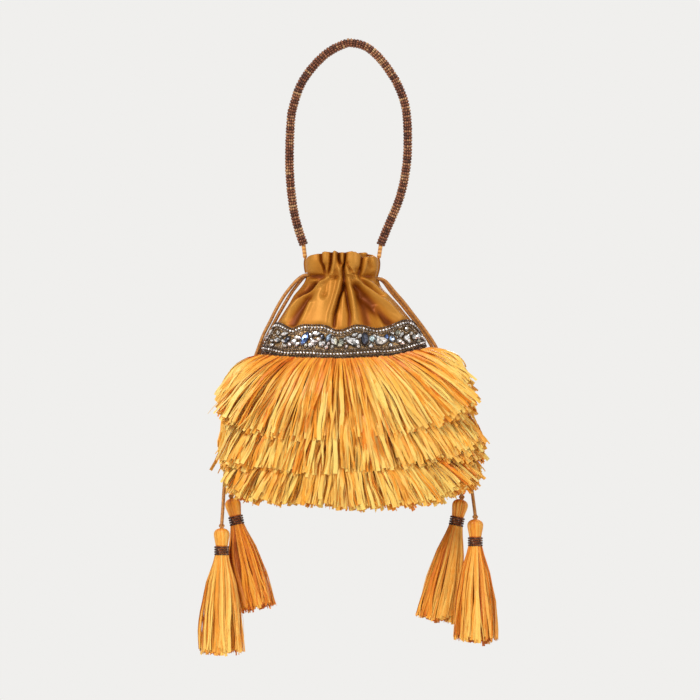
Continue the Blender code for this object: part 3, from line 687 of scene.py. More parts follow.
def add_mesh(name, points, quads, material, tones=None, smooth=True, face_tones=None):
    """A mesh object from arrays of points and of four-sided faces, with a tone for each point or face."""
    mesh = bpy.data.meshes.new(name)
    points = np.ascontiguousarray(points, np.float32).reshape(-1, 3)
    quads = np.ascontiguousarray(quads, np.int32).reshape(-1, 4)
    mesh.vertices.add(len(points))
    mesh.vertices.foreach_set("co", points.ravel())
    mesh.loops.add(quads.size)
    mesh.loops.foreach_set("vertex_index", quads.ravel())
    mesh.polygons.add(len(quads))
    mesh.polygons.foreach_set("loop_start", np.arange(0, quads.size, 4, dtype=np.int32))
    mesh.update(calc_edges=True)
    mesh.polygons.foreach_set("use_smooth", np.full(len(quads), smooth))
    for domain, values in (("POINT", tones), ("FACE", face_tones)):
        if values is not None:
            attribute = mesh.attributes.new("tone", "FLOAT", domain)
            attribute.data.foreach_set("value", np.ascontiguousarray(values, np.float32).ravel())
    mesh.materials.append(material)
    obj = bpy.data.objects.new(name, mesh)
    bpy.context.scene.collection.objects.link(obj)
    return obj


def grid_quads(rows, columns, around=False):
    """Faces of a grid of points in rows, closed from the last column to the first where around is true."""
    row = np.arange(rows - 1)[:, None]
    column = np.arange(columns if around else columns - 1)[None, :]
    after = (column + 1) % columns
    corners = (row * columns + column, row * columns + after, (row + 1) * columns + after)
    return np.stack([*corners, (row + 1) * columns + column], axis=-1).reshape(-1, 4)


def set_map(obj, across, down):
    """A UV map in metres from two values for each point."""
    mesh = obj.data
    index = np.zeros(len(mesh.loops), np.int32)
    mesh.loops.foreach_get("vertex_index", index)
    values = np.stack([np.ravel(across)[index], np.ravel(down)[index]], axis=1)
    mesh.uv_layers.new(name="cloth").data.foreach_set("uv", values.astype(np.float32).ravel())


def ball(cuts):
    """Points and faces of a round ball of radius 1, made from a cube whose sides are cut evenly."""
    steps = np.tan(np.linspace(-math.pi / 4, math.pi / 4, cuts + 1))
    u, v = np.meshgrid(steps, steps, indexing="ij")
    sides = []
    for axis in range(3):
        for sign in (1.0, -1.0):
            side = np.empty((cuts + 1, cuts + 1, 3))
            side[..., axis] = sign
            side[..., (axis + 1) % 3] = u * sign
            side[..., (axis + 2) % 3] = v
            sides.append(side.reshape(-1, 3))
    points = unit(np.concatenate(sides))
    quads = np.concatenate([grid_quads(cuts + 1, cuts + 1)[:, ::-1] + i * (cuts + 1) ** 2 for i in range(6)])
    _, first, index = np.unique(np.round(points, 5), axis=0, return_index=True, return_inverse=True)
    return points[first], index.reshape(-1)[quads]


def copies(shape, quads, places, axes):
    """Points and faces of many copies of a shape, each with its own place and its own three axes."""
    points = places[:, None, :] + np.einsum("pk,nkc->npc", shape, axes)
    offsets = (np.arange(len(places)) * len(shape))[:, None, None]
    return points.reshape(-1, 3), (quads[None] + offsets).reshape(-1, 4)


def add_beads(name, places, axes, material, seed, cuts=2):
    """Many beads, each a ball stretched along its own three axes, with a random tone for each."""
    shape, quads = ball(cuts)
    points, faces = copies(shape, quads, places, axes)
    tones = np.repeat(np.random.default_rng(seed).random(len(places)), len(shape))
    return add_mesh(name, points, faces, material, tones=tones)


def add_ribbons(name, lines, facing, widths, crease, material, tones, rng):
    """Flat strands along lines of points. facing is the way each strand's face looks at each point.

    A strand has three points across. The middle one stands out by crease times the width, which folds
    the strand along its length. Each strand has its own piece of the UV map."""
    count, rows, _ = lines.shape
    along = unit(np.gradient(lines, axis=1))
    across = unit(np.cross(along, facing))
    outwards = np.cross(across, along)
    half = 0.5 * widths[..., None]
    edge_a = lines - across * half
    edge_b = lines + across * half
    middle = lines + outwards * half * 2 * crease[:, None, None]
    points = np.stack([edge_a, middle, edge_b], axis=2)
    quads = grid_quads(rows, 3)
    offsets = (np.arange(count) * rows * 3)[:, None, None]
    faces = (quads[None] + offsets).reshape(-1, 4)
    obj = add_mesh(name, points.reshape(-1, 3), faces, material, tones=np.repeat(tones.reshape(-1), 3))
    travelled = np.cumsum(np.linalg.norm(np.diff(lines, axis=1, prepend=lines[:, :1]), axis=-1), axis=1)
    u = half * np.array([-1.0, 0.0, 1.0]) + rng.random((count, 1, 1))
    v = travelled[..., None] + rng.random((count, 1, 1)) + 0 * u
    set_map(obj, u, v)
    return obj


def add_cord(name, points, radius, material, closed=False):
    """A round cord: a curve along the points with a bevel."""
    data = bpy.data.curves.new(name, "CURVE")
    data.dimensions = "3D"
    data.bevel_depth = radius
    data.bevel_resolution = 4
    data.use_fill_caps = not closed
    spline = data.splines.new("POLY")
    spline.points.add(len(points) - 1)
    for point, place in zip(spline.points, points):
        point.co = (*place, 1.0)
    spline.use_cyclic_u = closed
    spline.use_smooth = True
    data.materials.append(material)
    obj = bpy.data.objects.new(name, data)
    bpy.context.scene.collection.objects.link(obj)
    return obj


def dress(obj, body, slot, *nodes):
    """Put a piece on its body, in place of the nodes that it stands for."""
    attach(obj, body)
    if nodes:
        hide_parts(*nodes)
    return obj


# Materials


def new_material(name, colour, roughness, **sockets):
    """A Principled material. Other sockets are given by name with underscores for spaces."""
    material = bpy.data.materials.new(name)
    material.use_nodes = True
    shader = material.node_tree.nodes["Principled BSDF"]
    shader.inputs["Base Color"].default_value = (*colour, 1.0)
    shader.inputs["Roughness"].default_value = roughness
    for key, value in sockets.items():
        shader.inputs[key.replace("_", " ")].default_value = value
    return material


def link(material, output, socket):
    """Link an output to a socket of the material's Principled shader."""
    shader = material.node_tree.nodes["Principled BSDF"]
    material.node_tree.links.new(output, shader.inputs[socket])


def colour_ramp(material, factor, stops):
    """A colour ramp over a factor. Each stop is a place from 0 to 1 and a colour."""
    node = material.node_tree.nodes.new("ShaderNodeValToRGB")
    elements = node.color_ramp.elements
    while len(elements) < len(stops):
        elements.new(0.5)
    for element, (place, colour) in zip(elements, stops):
        element.position = place
        element.color = (*colour, 1.0)
    material.node_tree.links.new(factor, node.inputs["Fac"])
    return node.outputs["Color"]


def scaled_coordinates(material, output, scale):
    """The object's own coordinates, or its UV map, stretched by a scale for each axis."""
    source = material.node_tree.nodes.new("ShaderNodeTexCoord")
    mapping = material.node_tree.nodes.new("ShaderNodeMapping")
    mapping.inputs["Scale"].default_value = scale
    material.node_tree.links.new(source.outputs[output], mapping.inputs["Vector"])
    return mapping.outputs["Vector"]


def noise(material, coordinates, scale, detail=3.0, roughness=0.55):
    """A noise pattern, as its value output."""
    node = material.node_tree.nodes.new("ShaderNodeTexNoise")
    node.inputs["Scale"].default_value = scale
    node.inputs["Detail"].default_value = detail
    node.inputs["Roughness"].default_value = roughness
    material.node_tree.links.new(coordinates, node.inputs["Vector"])
    return node.outputs["Fac"]


def calculate(material, operation, first, second):
    """A Math node. Each side is an output or a number."""
    node = material.node_tree.nodes.new("ShaderNodeMath")
    node.operation = operation
    for socket, value in zip(node.inputs, (first, second)):
        if isinstance(value, (int, float)):
            socket.default_value = value
        else:
            material.node_tree.links.new(value, socket)
    return node.outputs["Value"]


def add_bump(material, height, strength, distance):
    """Bump from a height pattern."""
    node = material.node_tree.nodes.new("ShaderNodeBump")
    node.inputs["Strength"].default_value = strength
    node.inputs["Distance"].default_value = distance
    material.node_tree.links.new(height, node.inputs["Height"])
    link(material, node.outputs["Normal"], "Normal")


def tone_of(material):
    """The tone that a piece's points or faces carry."""
    node = material.node_tree.nodes.new("ShaderNodeAttribute")
    node.attribute_name = "tone"
    return node.outputs["Fac"]


def woven_height(material, coordinates, threads):
    """A plain weave: two waves at right angles, threads to the metre."""
    parts = []
    for axis in ("X", "Y"):
        wave = material.node_tree.nodes.new("ShaderNodeTexWave")
        wave.bands_direction = axis
        wave.inputs["Scale"].default_value = threads / 20
        wave.inputs["Distortion"].default_value = 0.6
        wave.inputs["Detail"].default_value = 1.0
        material.node_tree.links.new(coordinates, wave.inputs["Vector"])
        parts.append(wave.outputs["Fac"])
    return calculate(material, "MULTIPLY", *parts)


def satin_material():
    """Mustard satin: a soft coloured sheen, fine warp threads, faint crush marks, and painted shade and
    highlight from the folds' tone.
    """
    material = new_material(
        "mustard_satin_look", (0.55, 0.21, 0.022), 0.43, Metallic=0.22, Specular_IOR_Level=0.14
    )
    cloth = scaled_coordinates(material, "UV", (1.0, 1.0, 1.0))
    slub = noise(material, scaled_coordinates(material, "UV", (900.0, 60.0, 1.0)), 1.0, 2.0)
    cloud = noise(material, cloth, 70.0, 4.0)
    streak = calculate(material, "MULTIPLY", calculate(material, "ADD", slub, cloud), 0.14)
    mixed = calculate(material, "ADD", calculate(material, "MULTIPLY", tone_of(material), 0.86), streak)
    colour = colour_ramp(
        material,
        mixed,
        (
            (0.06, (0.125, 0.022, 0.001)),
            (0.34, (0.27, 0.066, 0.003)),
            (0.62, (0.44, 0.158, 0.013)),
            (0.98, (0.53, 0.225, 0.032)),
        ),
    )
    link(material, colour, "Base Color")
    crush = noise(material, cloth, 260.0, 3.0)
    height = calculate(material, "ADD", calculate(material, "MULTIPLY", slub, 0.35), crush)
    add_bump(material, height, 0.22, 0.0006)
    return material


def lining_material():
    """Plain cotton, with its weave."""
    material = new_material("lining_look", (0.55, 0.33, 0.13), 0.85)
    cloth = scaled_coordinates(material, "UV", (1.0, 1.0, 1.0))
    cloud = noise(material, cloth, 120.0)
    colour = colour_ramp(material, cloud, ((0.3, (0.42, 0.24, 0.09)), (0.75, (0.60, 0.37, 0.16))))
    link(material, colour, "Base Color")
    add_bump(material, woven_height(material, cloth, 2200.0), 0.5, 0.0003)
    return material


def cord_material():
    """Satin rouleau: a bias-cut tube with a soft sheen and small puckers."""
    material = new_material("satin_cord_look", (0.47, 0.15, 0.014), 0.42, Metallic=0.2, Sheen_Weight=0.3)
    own = scaled_coordinates(material, "Object", (1.0, 1.0, 1.0))
    pucker = noise(material, own, 620.0, 2.0)
    colour = colour_ramp(material, pucker, ((0.3, (0.31, 0.10, 0.010)), (0.7, (0.60, 0.25, 0.036))))
    link(material, colour, "Base Color")
    add_bump(material, pucker, 0.6, 0.0008)
    return material


def wrapped_thread_material():
    """Silk thread wound round the ends of the handle's rope."""
    material = new_material("wrapped_thread_look", (0.72, 0.28, 0.03), 0.4, Sheen_Weight=0.3)
    own = scaled_coordinates(material, "Object", (1.0, 1.0, 1.0))
    wave = material.node_tree.nodes.new("ShaderNodeTexWave")
    wave.bands_direction = "Z"
    wave.inputs["Scale"].default_value = 95.0
    wave.inputs["Distortion"].default_value = 1.2
    material.node_tree.links.new(own, wave.inputs["Vector"])
    stops = ((0.0, (0.50, 0.16, 0.012)), (0.8, (0.84, 0.38, 0.06)))
    colour = colour_ramp(material, wave.outputs["Fac"], stops)
    link(material, colour, "Base Color")
    add_bump(material, wave.outputs["Fac"], 0.8, 0.0004)
    return material


def strand_material(name, stops, roughness, streaks):
    """Shiny flat strands: a tone for each, which carries painted shade and light besides its own colour, and
    fine streaks along it.
    """
    material = new_material(name, stops[1][1], roughness, Sheen_Weight=0.12)
    material.node_tree.nodes["Principled BSDF"].inputs["Specular IOR Level"].default_value = 0.36
    streak = noise(material, scaled_coordinates(material, "UV", (streaks, 0.035 * streaks, 1.0)), 1.0)
    # The crumple noise bumps the strands and also shifts their colour: painted highlight and shade of
    # crumpled strands
    crumple = noise(material, scaled_coordinates(material, "UV", (0.30 * streaks, 0.12 * streaks, 1.0)), 1.0)
    uneven = calculate(material, "ADD", calculate(material, "MULTIPLY", crumple, 1.2), streak)
    tone = calculate(material, "MULTIPLY", tone_of(material), 0.78)
    mixed = calculate(material, "ADD", tone, calculate(material, "MULTIPLY", uneven, 0.36))
    link(material, colour_ramp(material, calculate(material, "SUBTRACT", mixed, 0.17), stops), "Base Color")
    add_bump(material, uneven, 0.5, 0.0007)
    return material


def bead_material(name, stops, roughness, metallic, coat=0.3):
    """Glass or metal beads whose colour differs from bead to bead."""
    material = new_material(name, stops[0][1], roughness, Metallic=metallic)
    shader = material.node_tree.nodes["Principled BSDF"]
    shader.inputs["Coat Weight"].default_value = coat
    shader.inputs["Coat Roughness"].default_value = 0.08
    link(material, colour_ramp(material, tone_of(material), stops), "Base Color")
    return material


def mottled_material(name, dark, light, roughness, scale, **sockets):
    """A matt or metal surface whose colour runs between two, with fine unevenness."""
    material = new_material(name, dark, roughness, **sockets)
    cloud = noise(material, scaled_coordinates(material, "Object", (1.0, 1.0, 1.0)), scale)
    link(material, colour_ramp(material, cloud, ((0.35, dark), (0.70, light))), "Base Color")
    add_bump(material, cloud, 0.3, 0.0003)
    return material


def stone_material(name, tint):
    """Foil-backed crystal whose facets each carry a painted reflection, a brightness of its own, under a
    clear polished surface.
    """
    material = new_material(name, tint, 0.06, Metallic=0.55)
    shader = material.node_tree.nodes["Principled BSDF"]
    shader.inputs["Coat Weight"].default_value = 1.0
    shader.inputs["Coat Roughness"].default_value = 0.02
    dark = tuple(0.05 * value for value in tint)
    shade = tuple(0.34 * value for value in tint)
    bright = tuple(min(1.0, 1.2 * value + 0.10) for value in tint)
    stops = ((0.05, dark), (0.30, shade), (0.55, tint), (0.80, bright))
    link(material, colour_ramp(material, tone_of(material), stops), "Base Color")
    return material


def band_cloth_material():
    """Dull gold tissue cloth under the stones."""
    material = new_material("band_gold_look", (0.38, 0.23, 0.07), 0.42, Metallic=0.55)
    cloth = scaled_coordinates(material, "UV", (1.0, 1.0, 1.0))
    cloud = noise(material, cloth, 500.0, 3.0)
    colour = colour_ramp(
        material, cloud, ((0.3, (0.10, 0.05, 0.02)), (0.55, (0.30, 0.17, 0.06)), (0.8, (0.55, 0.38, 0.18)))
    )
    link(material, colour, "Base Color")
    add_bump(material, woven_height(material, cloth, 1800.0), 0.6, 0.0004)
    return material


# Satin pouch


def section_table():
    """The smooth pouch's sections at close heights, with the corners between the given ones rounded."""
    rows = np.array(SATIN_SECTIONS)[::-1]
    step = 0.0005
    z = np.arange(rows[0, 0], rows[-1, 0] + step, step)
    reach = int(SECTION_SMOOTHING / step)
    window = np.hanning(2 * reach + 1)
    window /= window.sum()
    columns = []
    for values in rows[:, 1:].T:
        line = np.interp(z, rows[:, 0], values)
        padded = np.concatenate([np.full(reach, line[0]), line, np.full(reach, line[-1])])
        columns.append(np.convolve(padded, window, mode="valid"))
    return z, columns


SECTION_Z, SECTION_COLUMNS = section_table()


def satin_size(z):
    """Half width, half depth and lean of the smooth pouch at heights."""
    return [np.interp(z, SECTION_Z, column) for column in SECTION_COLUMNS]


def satin_point(angle, z):
    """Points of the smooth pouch at angles round it, from the right side over the front, and heights.

    Each section is an ellipse, whose half sizes and lean to the side are the ones of its height."""
    half_width, half_depth, lean = satin_size(z)
    x = lean + half_width * np.cos(angle)
    y = -half_depth * np.sin(angle)
    return np.stack([x, y, z + np.zeros_like(x)], axis=-1)


def satin_axes(angle, z):
    """Unit vectors on the smooth pouch: to the right along it, up it, and straight out of it."""
    turn, rise = 0.01, 0.001
    along = unit(satin_point(angle - turn, z) - satin_point(angle + turn, z))
    up = unit(satin_point(angle, z + rise) - satin_point(angle, z - rise))
    outwards = unit(np.cross(along, up))
    return along, np.cross(outwards, along), outwards


def front_angle(x, z):
    """Angle round the pouch of the front point at x and z."""
    half_width, _, lean = satin_size(z)
    return np.arccos(np.clip((x - lean) / half_width, -0.9999, 0.9999))


def on_front(x, z, lift):
    """Points that stand off the front of the smooth pouch by a distance, and the three axes there."""
    angle = front_angle(x, z)
    along, up, outwards = satin_axes(angle, z)
    return satin_point(angle, z) + outwards * np.asarray(lift)[..., None], (along, up, outwards)


def fold_height(across, down):
    """Height of the folds over the smooth pouch, at photograph pixels."""
    height = np.zeros(np.broadcast(across, down).shape)
    for peak, width, route in FOLDS:
        route_across, route_down = zip(*route)
        centre = np.interp(down, route_down, route_across)
        starts = smooth_step(down, route_down[0] - FOLD_FADE, route_down[0] + 1)
        ends = 1 - smooth_step(down, route_down[-1] - 1, route_down[-1] + FOLD_FADE)
        height += peak * starts * ends * np.exp(-(((across - centre) / width) ** 2))
    for centre, level, wide, tall, depth in HOLLOWS:
        height -= depth * np.exp(-(((across - centre) / wide) ** 2) - ((down - level) / tall) ** 2)
    return height


def fold_shape(angle, z):
    """Height of the folds at angles and heights: as drawn, which sets the satin's painted shade, and as sewn,
    where the drawstrings hold them.
    """
    front = np.sin(angle) >= 0
    across = ORIGIN_PIXEL[0] + np.where(front, 1, -1) * satin_point(angle, z)[..., 0] / PIXEL
    down = ORIGIN_PIXEL[1] - z / PIXEL
    near_side = smooth_step(np.abs(np.sin(angle)), *SIDE_FADE)
    band_across, band_down = zip(*BAND_TOP_PIXELS)
    end = np.where(front, np.interp(across, band_across, band_down) - FOLD_END_GAP, BACK_FOLD_END)
    fade_start, fade_end = FOLD_END_FADE
    fade = 1 - smooth_step(down, end + fade_start, end + fade_end)
    drawn = FOLD_DEPTH * fold_height(across, down) * near_side * fade
    flatter = 1 - FLATTENED_SHARE * smooth_step(down, end - FOLD_FLATTENING, end - FLAT_BEFORE_END)
    free = smooth_step(np.abs(z - CHANNEL_Z), *CHANNEL_REACH)
    return drawn, np.maximum(drawn * flatter, -CHANNEL_FOLD_DEPTH - FREE_FOLD_DEPTH * free)


def rim_height(angle, front):
    """Height of the heading's top edge round the pouch. The back's is the front's, turned round."""
    half_width, _, lean = satin_size(RIM_SECTION_Z)
    x = lean + half_width * np.cos(angle)
    pixels_across, pixels_down = zip(*RIM_PIXELS)
    rim = np.interp(np.where(front, x, -x), photo_x(pixels_across), photo_z(pixels_down))
    side = 1 - smooth_step(np.abs(np.sin(angle)), *RIM_SIDE_FADE)
    return rim * (1 - side) + min(photo_z(pixels_down)) * side


def satin_rows(angle, front):
    """Heights and insets of the satin's rows: up the inside of the heading, over its edge, and down."""
    rim = rim_height(angle, front)
    heights = []
    insets = []
    for share in np.linspace(*HEM_SHARES):
        heights.append(rim + (CHANNEL_Z - rim) * share)
        insets.append(HEM_INSET)
    for rise, inset in RIM_CURL:
        heights.append(rim + rise)
        insets.append(HEM_INSET * inset)
    for share in np.linspace(*HEADING_SHARES):
        heights.append(rim + (CHANNEL_Z - rim) * share)
        insets.append(0.0)
    for z in np.concatenate([np.linspace(*rows) for rows in (FOLDED_Z, PLAIN_Z, BOTTOM_Z)]):
        heights.append(np.full_like(angle, z))
        insets.append(0.0)
    return np.array(heights), np.array(insets)[:, None]


def make_satin():
    """The gathered satin, a grid round the pouch whose folds follow the photograph on the front.

    Each point is the smooth pouch's point, moved straight out by the sum of the fold profiles there. The
    back's folds are the front's, turned round. Under the band and at the fringe the folds fade away."""
    angle = np.arange(SATIN_COLUMNS) * 2 * math.pi / SATIN_COLUMNS
    front = np.sin(angle) >= 0
    z, insets = satin_rows(angle, front)
    points = satin_point(angle[None, :], z)
    drawn, height = fold_shape(angle[None, :], z)
    near_side = smooth_step(np.abs(np.sin(angle)), *SIDE_FADE)
    ripple = SIDE_RIPPLE * np.cos(SIDE_RIPPLES_ROUND * angle) * (1 - near_side)
    ripple = ripple * (1 - smooth_step(z, *SIDE_RIPPLE_FADE_Z))
    pinch = PINCH * np.exp(-(((z - CHANNEL_Z) / PINCH_REACH) ** 2))
    outwards = satin_axes(angle[None, :] + 0 * z, z)[2]
    points += outwards * (height + ripple - pinch - insets)[..., None]
    points[-1, :, 1] = 0.0
    slit_z = CHANNEL_Z - np.sign(np.cos(angle)) * RING_LIFT
    slit = (np.abs(points[..., 1]) < SLIT_HALF_WIDTH) & (np.abs(z - slit_z) < SLIT_HALF_HEIGHT)
    slit &= insets == 0
    quads = grid_quads(len(z), SATIN_COLUMNS, around=True)
    quads = quads[~slit.ravel()[quads].all(axis=1)]
    # Painted shade and highlight: the tone falls where the folds and hollows as drawn sink, rises where they
    # stand out, and follows the neck's ripples
    tones = np.clip(PAINTED_SHADE_LEVEL + (drawn - SIDE_RIPPLE_PAINTED_SHADE * ripple) / PAINTED_SHADE_DEPTH, 0, 1)
    obj = add_mesh("satin_gathered", points, quads, MATERIALS["satin"], tones=tones)
    girth = np.linalg.norm(np.diff(points, axis=1, append=points[:, :1]), axis=-1)
    set_map(obj, np.cumsum(girth, axis=1) - girth, z)
    return dress(obj, "pouch", "mustard_satin", "satin_pouch")


def make_lining():
    """The lining, a sheet that hangs inside the satin and narrows at the drawstrings.

    Its sections are the smooth pouch's ellipses less an inset, which grows at the channel and under the
    satin's valleys, plus a small crumple, the product of two sines."""
    angle = np.arange(LINING_COLUMNS) * 2 * math.pi / LINING_COLUMNS
    z = np.linspace(LINING_TOP_Z, LINING_BOTTOM_Z, LINING_ROWS)[:, None] + 0 * angle
    half_width, half_depth, lean = satin_size(z)
    inset = LINING_INSET + LINING_CHANNEL_DIP * np.exp(-(((z - CHANNEL_Z) / LINING_DIP_REACH) ** 2))
    inset += np.maximum(-fold_shape(angle, z)[1], 0)
    waves = [np.sin(waves_round * angle + waves_down * z) for waves_round, waves_down in LINING_WAVES]
    crumple = LINING_CRUMPLE * waves[0] * waves[1]
    x = lean + np.maximum(half_width - inset, LINING_LEAST_HALF_WIDTH) * np.cos(angle)
    y = -np.maximum(half_depth - inset + crumple, LINING_LEAST_HALF_DEPTH) * np.sin(angle)
    points = np.stack([x, y, z], axis=-1)
    points[-1, :, 1] = 0.0
    obj = add_mesh("lining_cloth", points, grid_quads(*z.shape, around=True), MATERIALS["lining"])
    set_map(obj, angle * LINING_MAP_RADIUS + 0 * z, z)
    return dress(obj, "pouch", "lining_cotton", "lining")


# Handle


def handle_line():
    """Fine points down the middle of the whole handle."""
    (left_x, left_z), (right_x, right_z) = HANDLE_ENDS
    route = ((left_x, left_z), *HANDLE_ROUTE, (right_x, right_z))
    return smooth_route([(x, 0.0, z) for x, z in route], 0.0005)


def trimmed(points, inset):
    """The line without a length at each end."""
    travelled = np.concatenate([[0], np.cumsum(np.linalg.norm(np.diff(points, axis=0), axis=1))])
    return points[(travelled >= inset) & (travelled <= travelled[-1] - inset)]


def make_handle():
    """Rows of seed beads round the rope, over a dark thread tube that fills the gaps between them and is also
    painted shade there.

    A row is a circle of beads square to the rope's line, and the rows follow it at an even pitch."""
    line = trimmed(handle_line(), SLEEVE_INSET)
    rows = even_points(line, BEAD_ROW_PITCH)
    along = unit(np.gradient(rows, axis=0))
    side = np.array([0.0, 1.0, 0.0])
    up = np.cross(along, side)
    angle = np.arange(BEADS_ROUND) * 2 * math.pi / BEADS_ROUND
    count = len(rows)
    outwards = up[:, None] * np.cos(angle)[None, :, None] + side * np.sin(angle)[None, :, None]
    radius = HANDLE_RADIUS - HANDLE_BEAD_HEIGHT
    rng = np.random.default_rng(SEED)
    shift = rng.normal(0, HANDLE_BEAD_SHIFT, (count, BEADS_ROUND, 1))
    places = rows[:, None] + outwards * radius + along[:, None] * shift
    round_axis = np.cross(outwards, along[:, None])
    half_round = math.pi * radius / BEADS_ROUND * HANDLE_BEAD_OVERLAP
    size = rng.normal(1.0, HANDLE_BEAD_UNEVENNESS, (count, BEADS_ROUND, 1))
    axes = np.stack(
        [
            round_axis * half_round * size,
            outwards * HANDLE_BEAD_HEIGHT * size,
            along[:, None] * BEAD_ROW_PITCH / 2 * size,
        ],
        axis=2,
    )
    shape, quads = ball(2)
    points, faces = copies(shape, quads, places.reshape(-1, 3), axes.reshape(-1, 3, 3))
    tones = np.clip(rng.random((count, 1)) ** 1.5 * 0.5 + rng.random((count, BEADS_ROUND)) * 0.5, 0, 1)
    tones = np.repeat(tones.ravel(), len(shape))
    beads = add_mesh("handle_seed_beads", points, faces, MATERIALS["handle_beads"], tones=tones)
    dress(beads, "handle", "copper_beads", "handle_bead_sleeve")
    # The tube's near-black is the thread's colour and also painted shade in the gaps between the beads
    middle = even_points(line, 0.003)
    inner = add_cord("handle_thread_tube", middle, radius - HANDLE_THREAD_GAP, MATERIALS["dark_thread_and_gap_shade"])
    dress(inner, "handle", "copper_beads")


def paint_handle_core(nodes):
    """Silk thread on the rope core, which shows as two wrapped stubs between the beads and the satin."""
    core = nodes["handle_rope_core"]
    core.data.materials.clear()
    core.data.materials.append(MATERIALS["wrapped_thread"])


# Drawstrings


def make_rings():
    """The two drawstrings' turns round the neck: level ellipses inside the channel, one over the other."""
    angle = np.arange(RING_POINTS) * 2 * math.pi / RING_POINTS
    _, _, lean = satin_size(CHANNEL_Z)
    for name, level in (("left", 1), ("right", -1)):
        x = lean + RING_HALF_WIDTH * np.cos(angle)
        y = -RING_HALF_DEPTH * np.sin(angle)
        z = CHANNEL_Z + level * RING_LIFT + 0 * angle
        points = np.stack([x, y, z], axis=1)
        obj = add_cord(f"{name}_channel_cord", points, CORD_DIAMETER / 2, MATERIALS["cord"], closed=True)
        dress(obj, "pouch", "satin_cord", f"{name}_drawstring_ring")


def make_tail(label):
    """One drawstring tail, from the slit in the satin to its tassel."""
    pivot_x, pivot_z, side, _, _ = TASSELS[label]
    end = (pivot_x, side * TASSEL_Y, pivot_z + KNOT_RADIUS * TAIL_END_SHARE)
    points = smooth_route((TAIL_STARTS[label], *TAIL_ROUTES[label], end), TAIL_SPACING)
    obj = add_cord(f"{label}_drawstring", points, CORD_DIAMETER / 2, MATERIALS["cord"])
    dress(obj, "pouch", "satin_cord", f"{label}_tail")


# Fringe


def along_pixels(pixels, share):
    """x and z at shares of the way along a line of photograph pixels."""
    x, z = photo_x([p[0] for p in pixels]), photo_z([p[1] for p in pixels])
    travelled = np.concatenate([[0], np.cumsum(np.hypot(np.diff(x), np.diff(z)))]) / np.hypot(
        np.diff(x), np.diff(z)
    ).sum()
    return np.interp(share, travelled, x), np.interp(share, travelled, z)


def header_height(tier, x):
    """Height of a tier's sewn line at x."""
    across, down = zip(*tier["header"])
    return np.interp(x, photo_x(across), photo_z(down))


def varied(rng, own, shared, groups, count):
    """Random values: each strand's own, plus one that all the strands of its group share."""
    return rng.normal(0, own, len(groups)) + rng.normal(0, shared, count)[groups]


def strand_places(rng):
    """Layer, clump, and angles of root and tip round the pouch, of one length of fringe's strands.

    Roots are even, with a little chance. Each tip is pulled to its clump's middle by a random share."""
    count = FRINGE_STRANDS
    layer = rng.random(count)
    base = (np.arange(count) + rng.random(count)) / count
    centres = rng.random(CLUMPS)
    clump = np.abs(base[:, None] - centres).argmin(axis=1)
    gathered = np.clip(base + (centres[clump] - base) * CLUMP_PULL * rng.random(count), 0.01, 0.99)
    span = math.pi - 2 * FRINGE_END_ANGLE
    return layer, clump, FRINGE_END_ANGLE + span * base, FRINGE_END_ANGLE + span * gathered


def strand_roots(tier, layer, angle, rng):
    """Where strands are sewn: on an ellipse that stands off the satin by a share of the layer."""
    half_width, half_depth, _ = satin_size(header_height(tier, 0.0))
    stand = HEADER_STAND * layer
    x = (half_width + stand) * np.cos(angle)
    y = (half_depth + stand) * np.sin(angle)
    z = header_height(tier, x) - ROOT_UNEVENNESS * rng.random(len(angle))
    return np.stack([x, y, z], axis=1)


def strand_tips(tier, root, layer, clump, tip_angle, rng):
    """Strands' tips: by layer between the inner and the outer line, then longer or shorter, and aside.

    The share of the way along the lines grows fastest in the middle, by a power, so strands fan out."""
    count = len(layer)
    lean = np.cos(tip_angle)
    place = 0.5 + 0.5 * np.sign(lean) * (1 - (1 - np.abs(lean)) ** FAN_POWER)
    inner_x, inner_z = along_pixels(tier["inner"], place)
    outer_x, outer_z = along_pixels(tier["outer"], place)
    x = inner_x + (outer_x - inner_x) * layer
    z = inner_z + (outer_z - inner_z) * layer
    low_depth, high_depth = tier["depth"]
    y = (low_depth + (high_depth - low_depth) * layer) * np.sin(tip_angle) ** TIP_ROUNDING
    tip = np.stack([x, y, z], axis=1)
    longer = rng.normal(0, CLUMP_LENGTH_SPREAD, CLUMPS)[clump] + rng.normal(0, STRAND_LENGTH_SPREAD, count)
    longer = longer - LONGEST_CUT * rng.random(count) ** 3
    tip = root + (tip - root) * (1 + longer)[:, None]
    astray = np.where(rng.random(count) < STRAY_SHARE, rng.normal(0, STRAY_SPREAD, count), 0)
    aside = varied(rng, ASIDE_SPREAD, ASIDE_SPREAD, clump, CLUMPS) + astray
    tip[:, 0] += aside * np.sin(tip_angle) - END_PULL * lean**5
    return tip


def bent_strands(root, tip, layer, clump, heading, sideways, rng):
    """Centre lines from roots to tips: straight, plus a sine bow outwards, a parabola of curl and waves."""
    count = len(layer)
    share = np.linspace(0, 1, FRINGE_ROWS)[None, :, None]
    lines = root[:, None] + (tip - root)[:, None] * share
    bow = (BOW_LEAST + BOW_BY_LAYER * layer + BOW_BY_CHANCE * rng.random(count))[:, None, None]
    lines = lines + heading[:, None] * bow * np.sin(math.pi * share**BOW_EARLINESS)
    curl = varied(rng, CURL_SPREAD, CURL_SPREAD, clump, CLUMPS)[:, None, None]
    lines = lines + sideways[:, None] * curl * (share**2 - share)
    for way, reach in ((sideways, SIDEWAYS_WAVER), (heading, OUTWARD_WAVER)):
        phase = rng.uniform(0, 2 * math.pi, count)[:, None, None]
        waves = rng.uniform(*WAVER_TURNS, count)[:, None, None]
        lines = lines + way[:, None] * reach * np.sin(waves * share + phase) * np.minimum(2 * share, 1)
    lines[..., 1] = np.maximum(lines[..., 1], SIDE_GAP)
    return lines


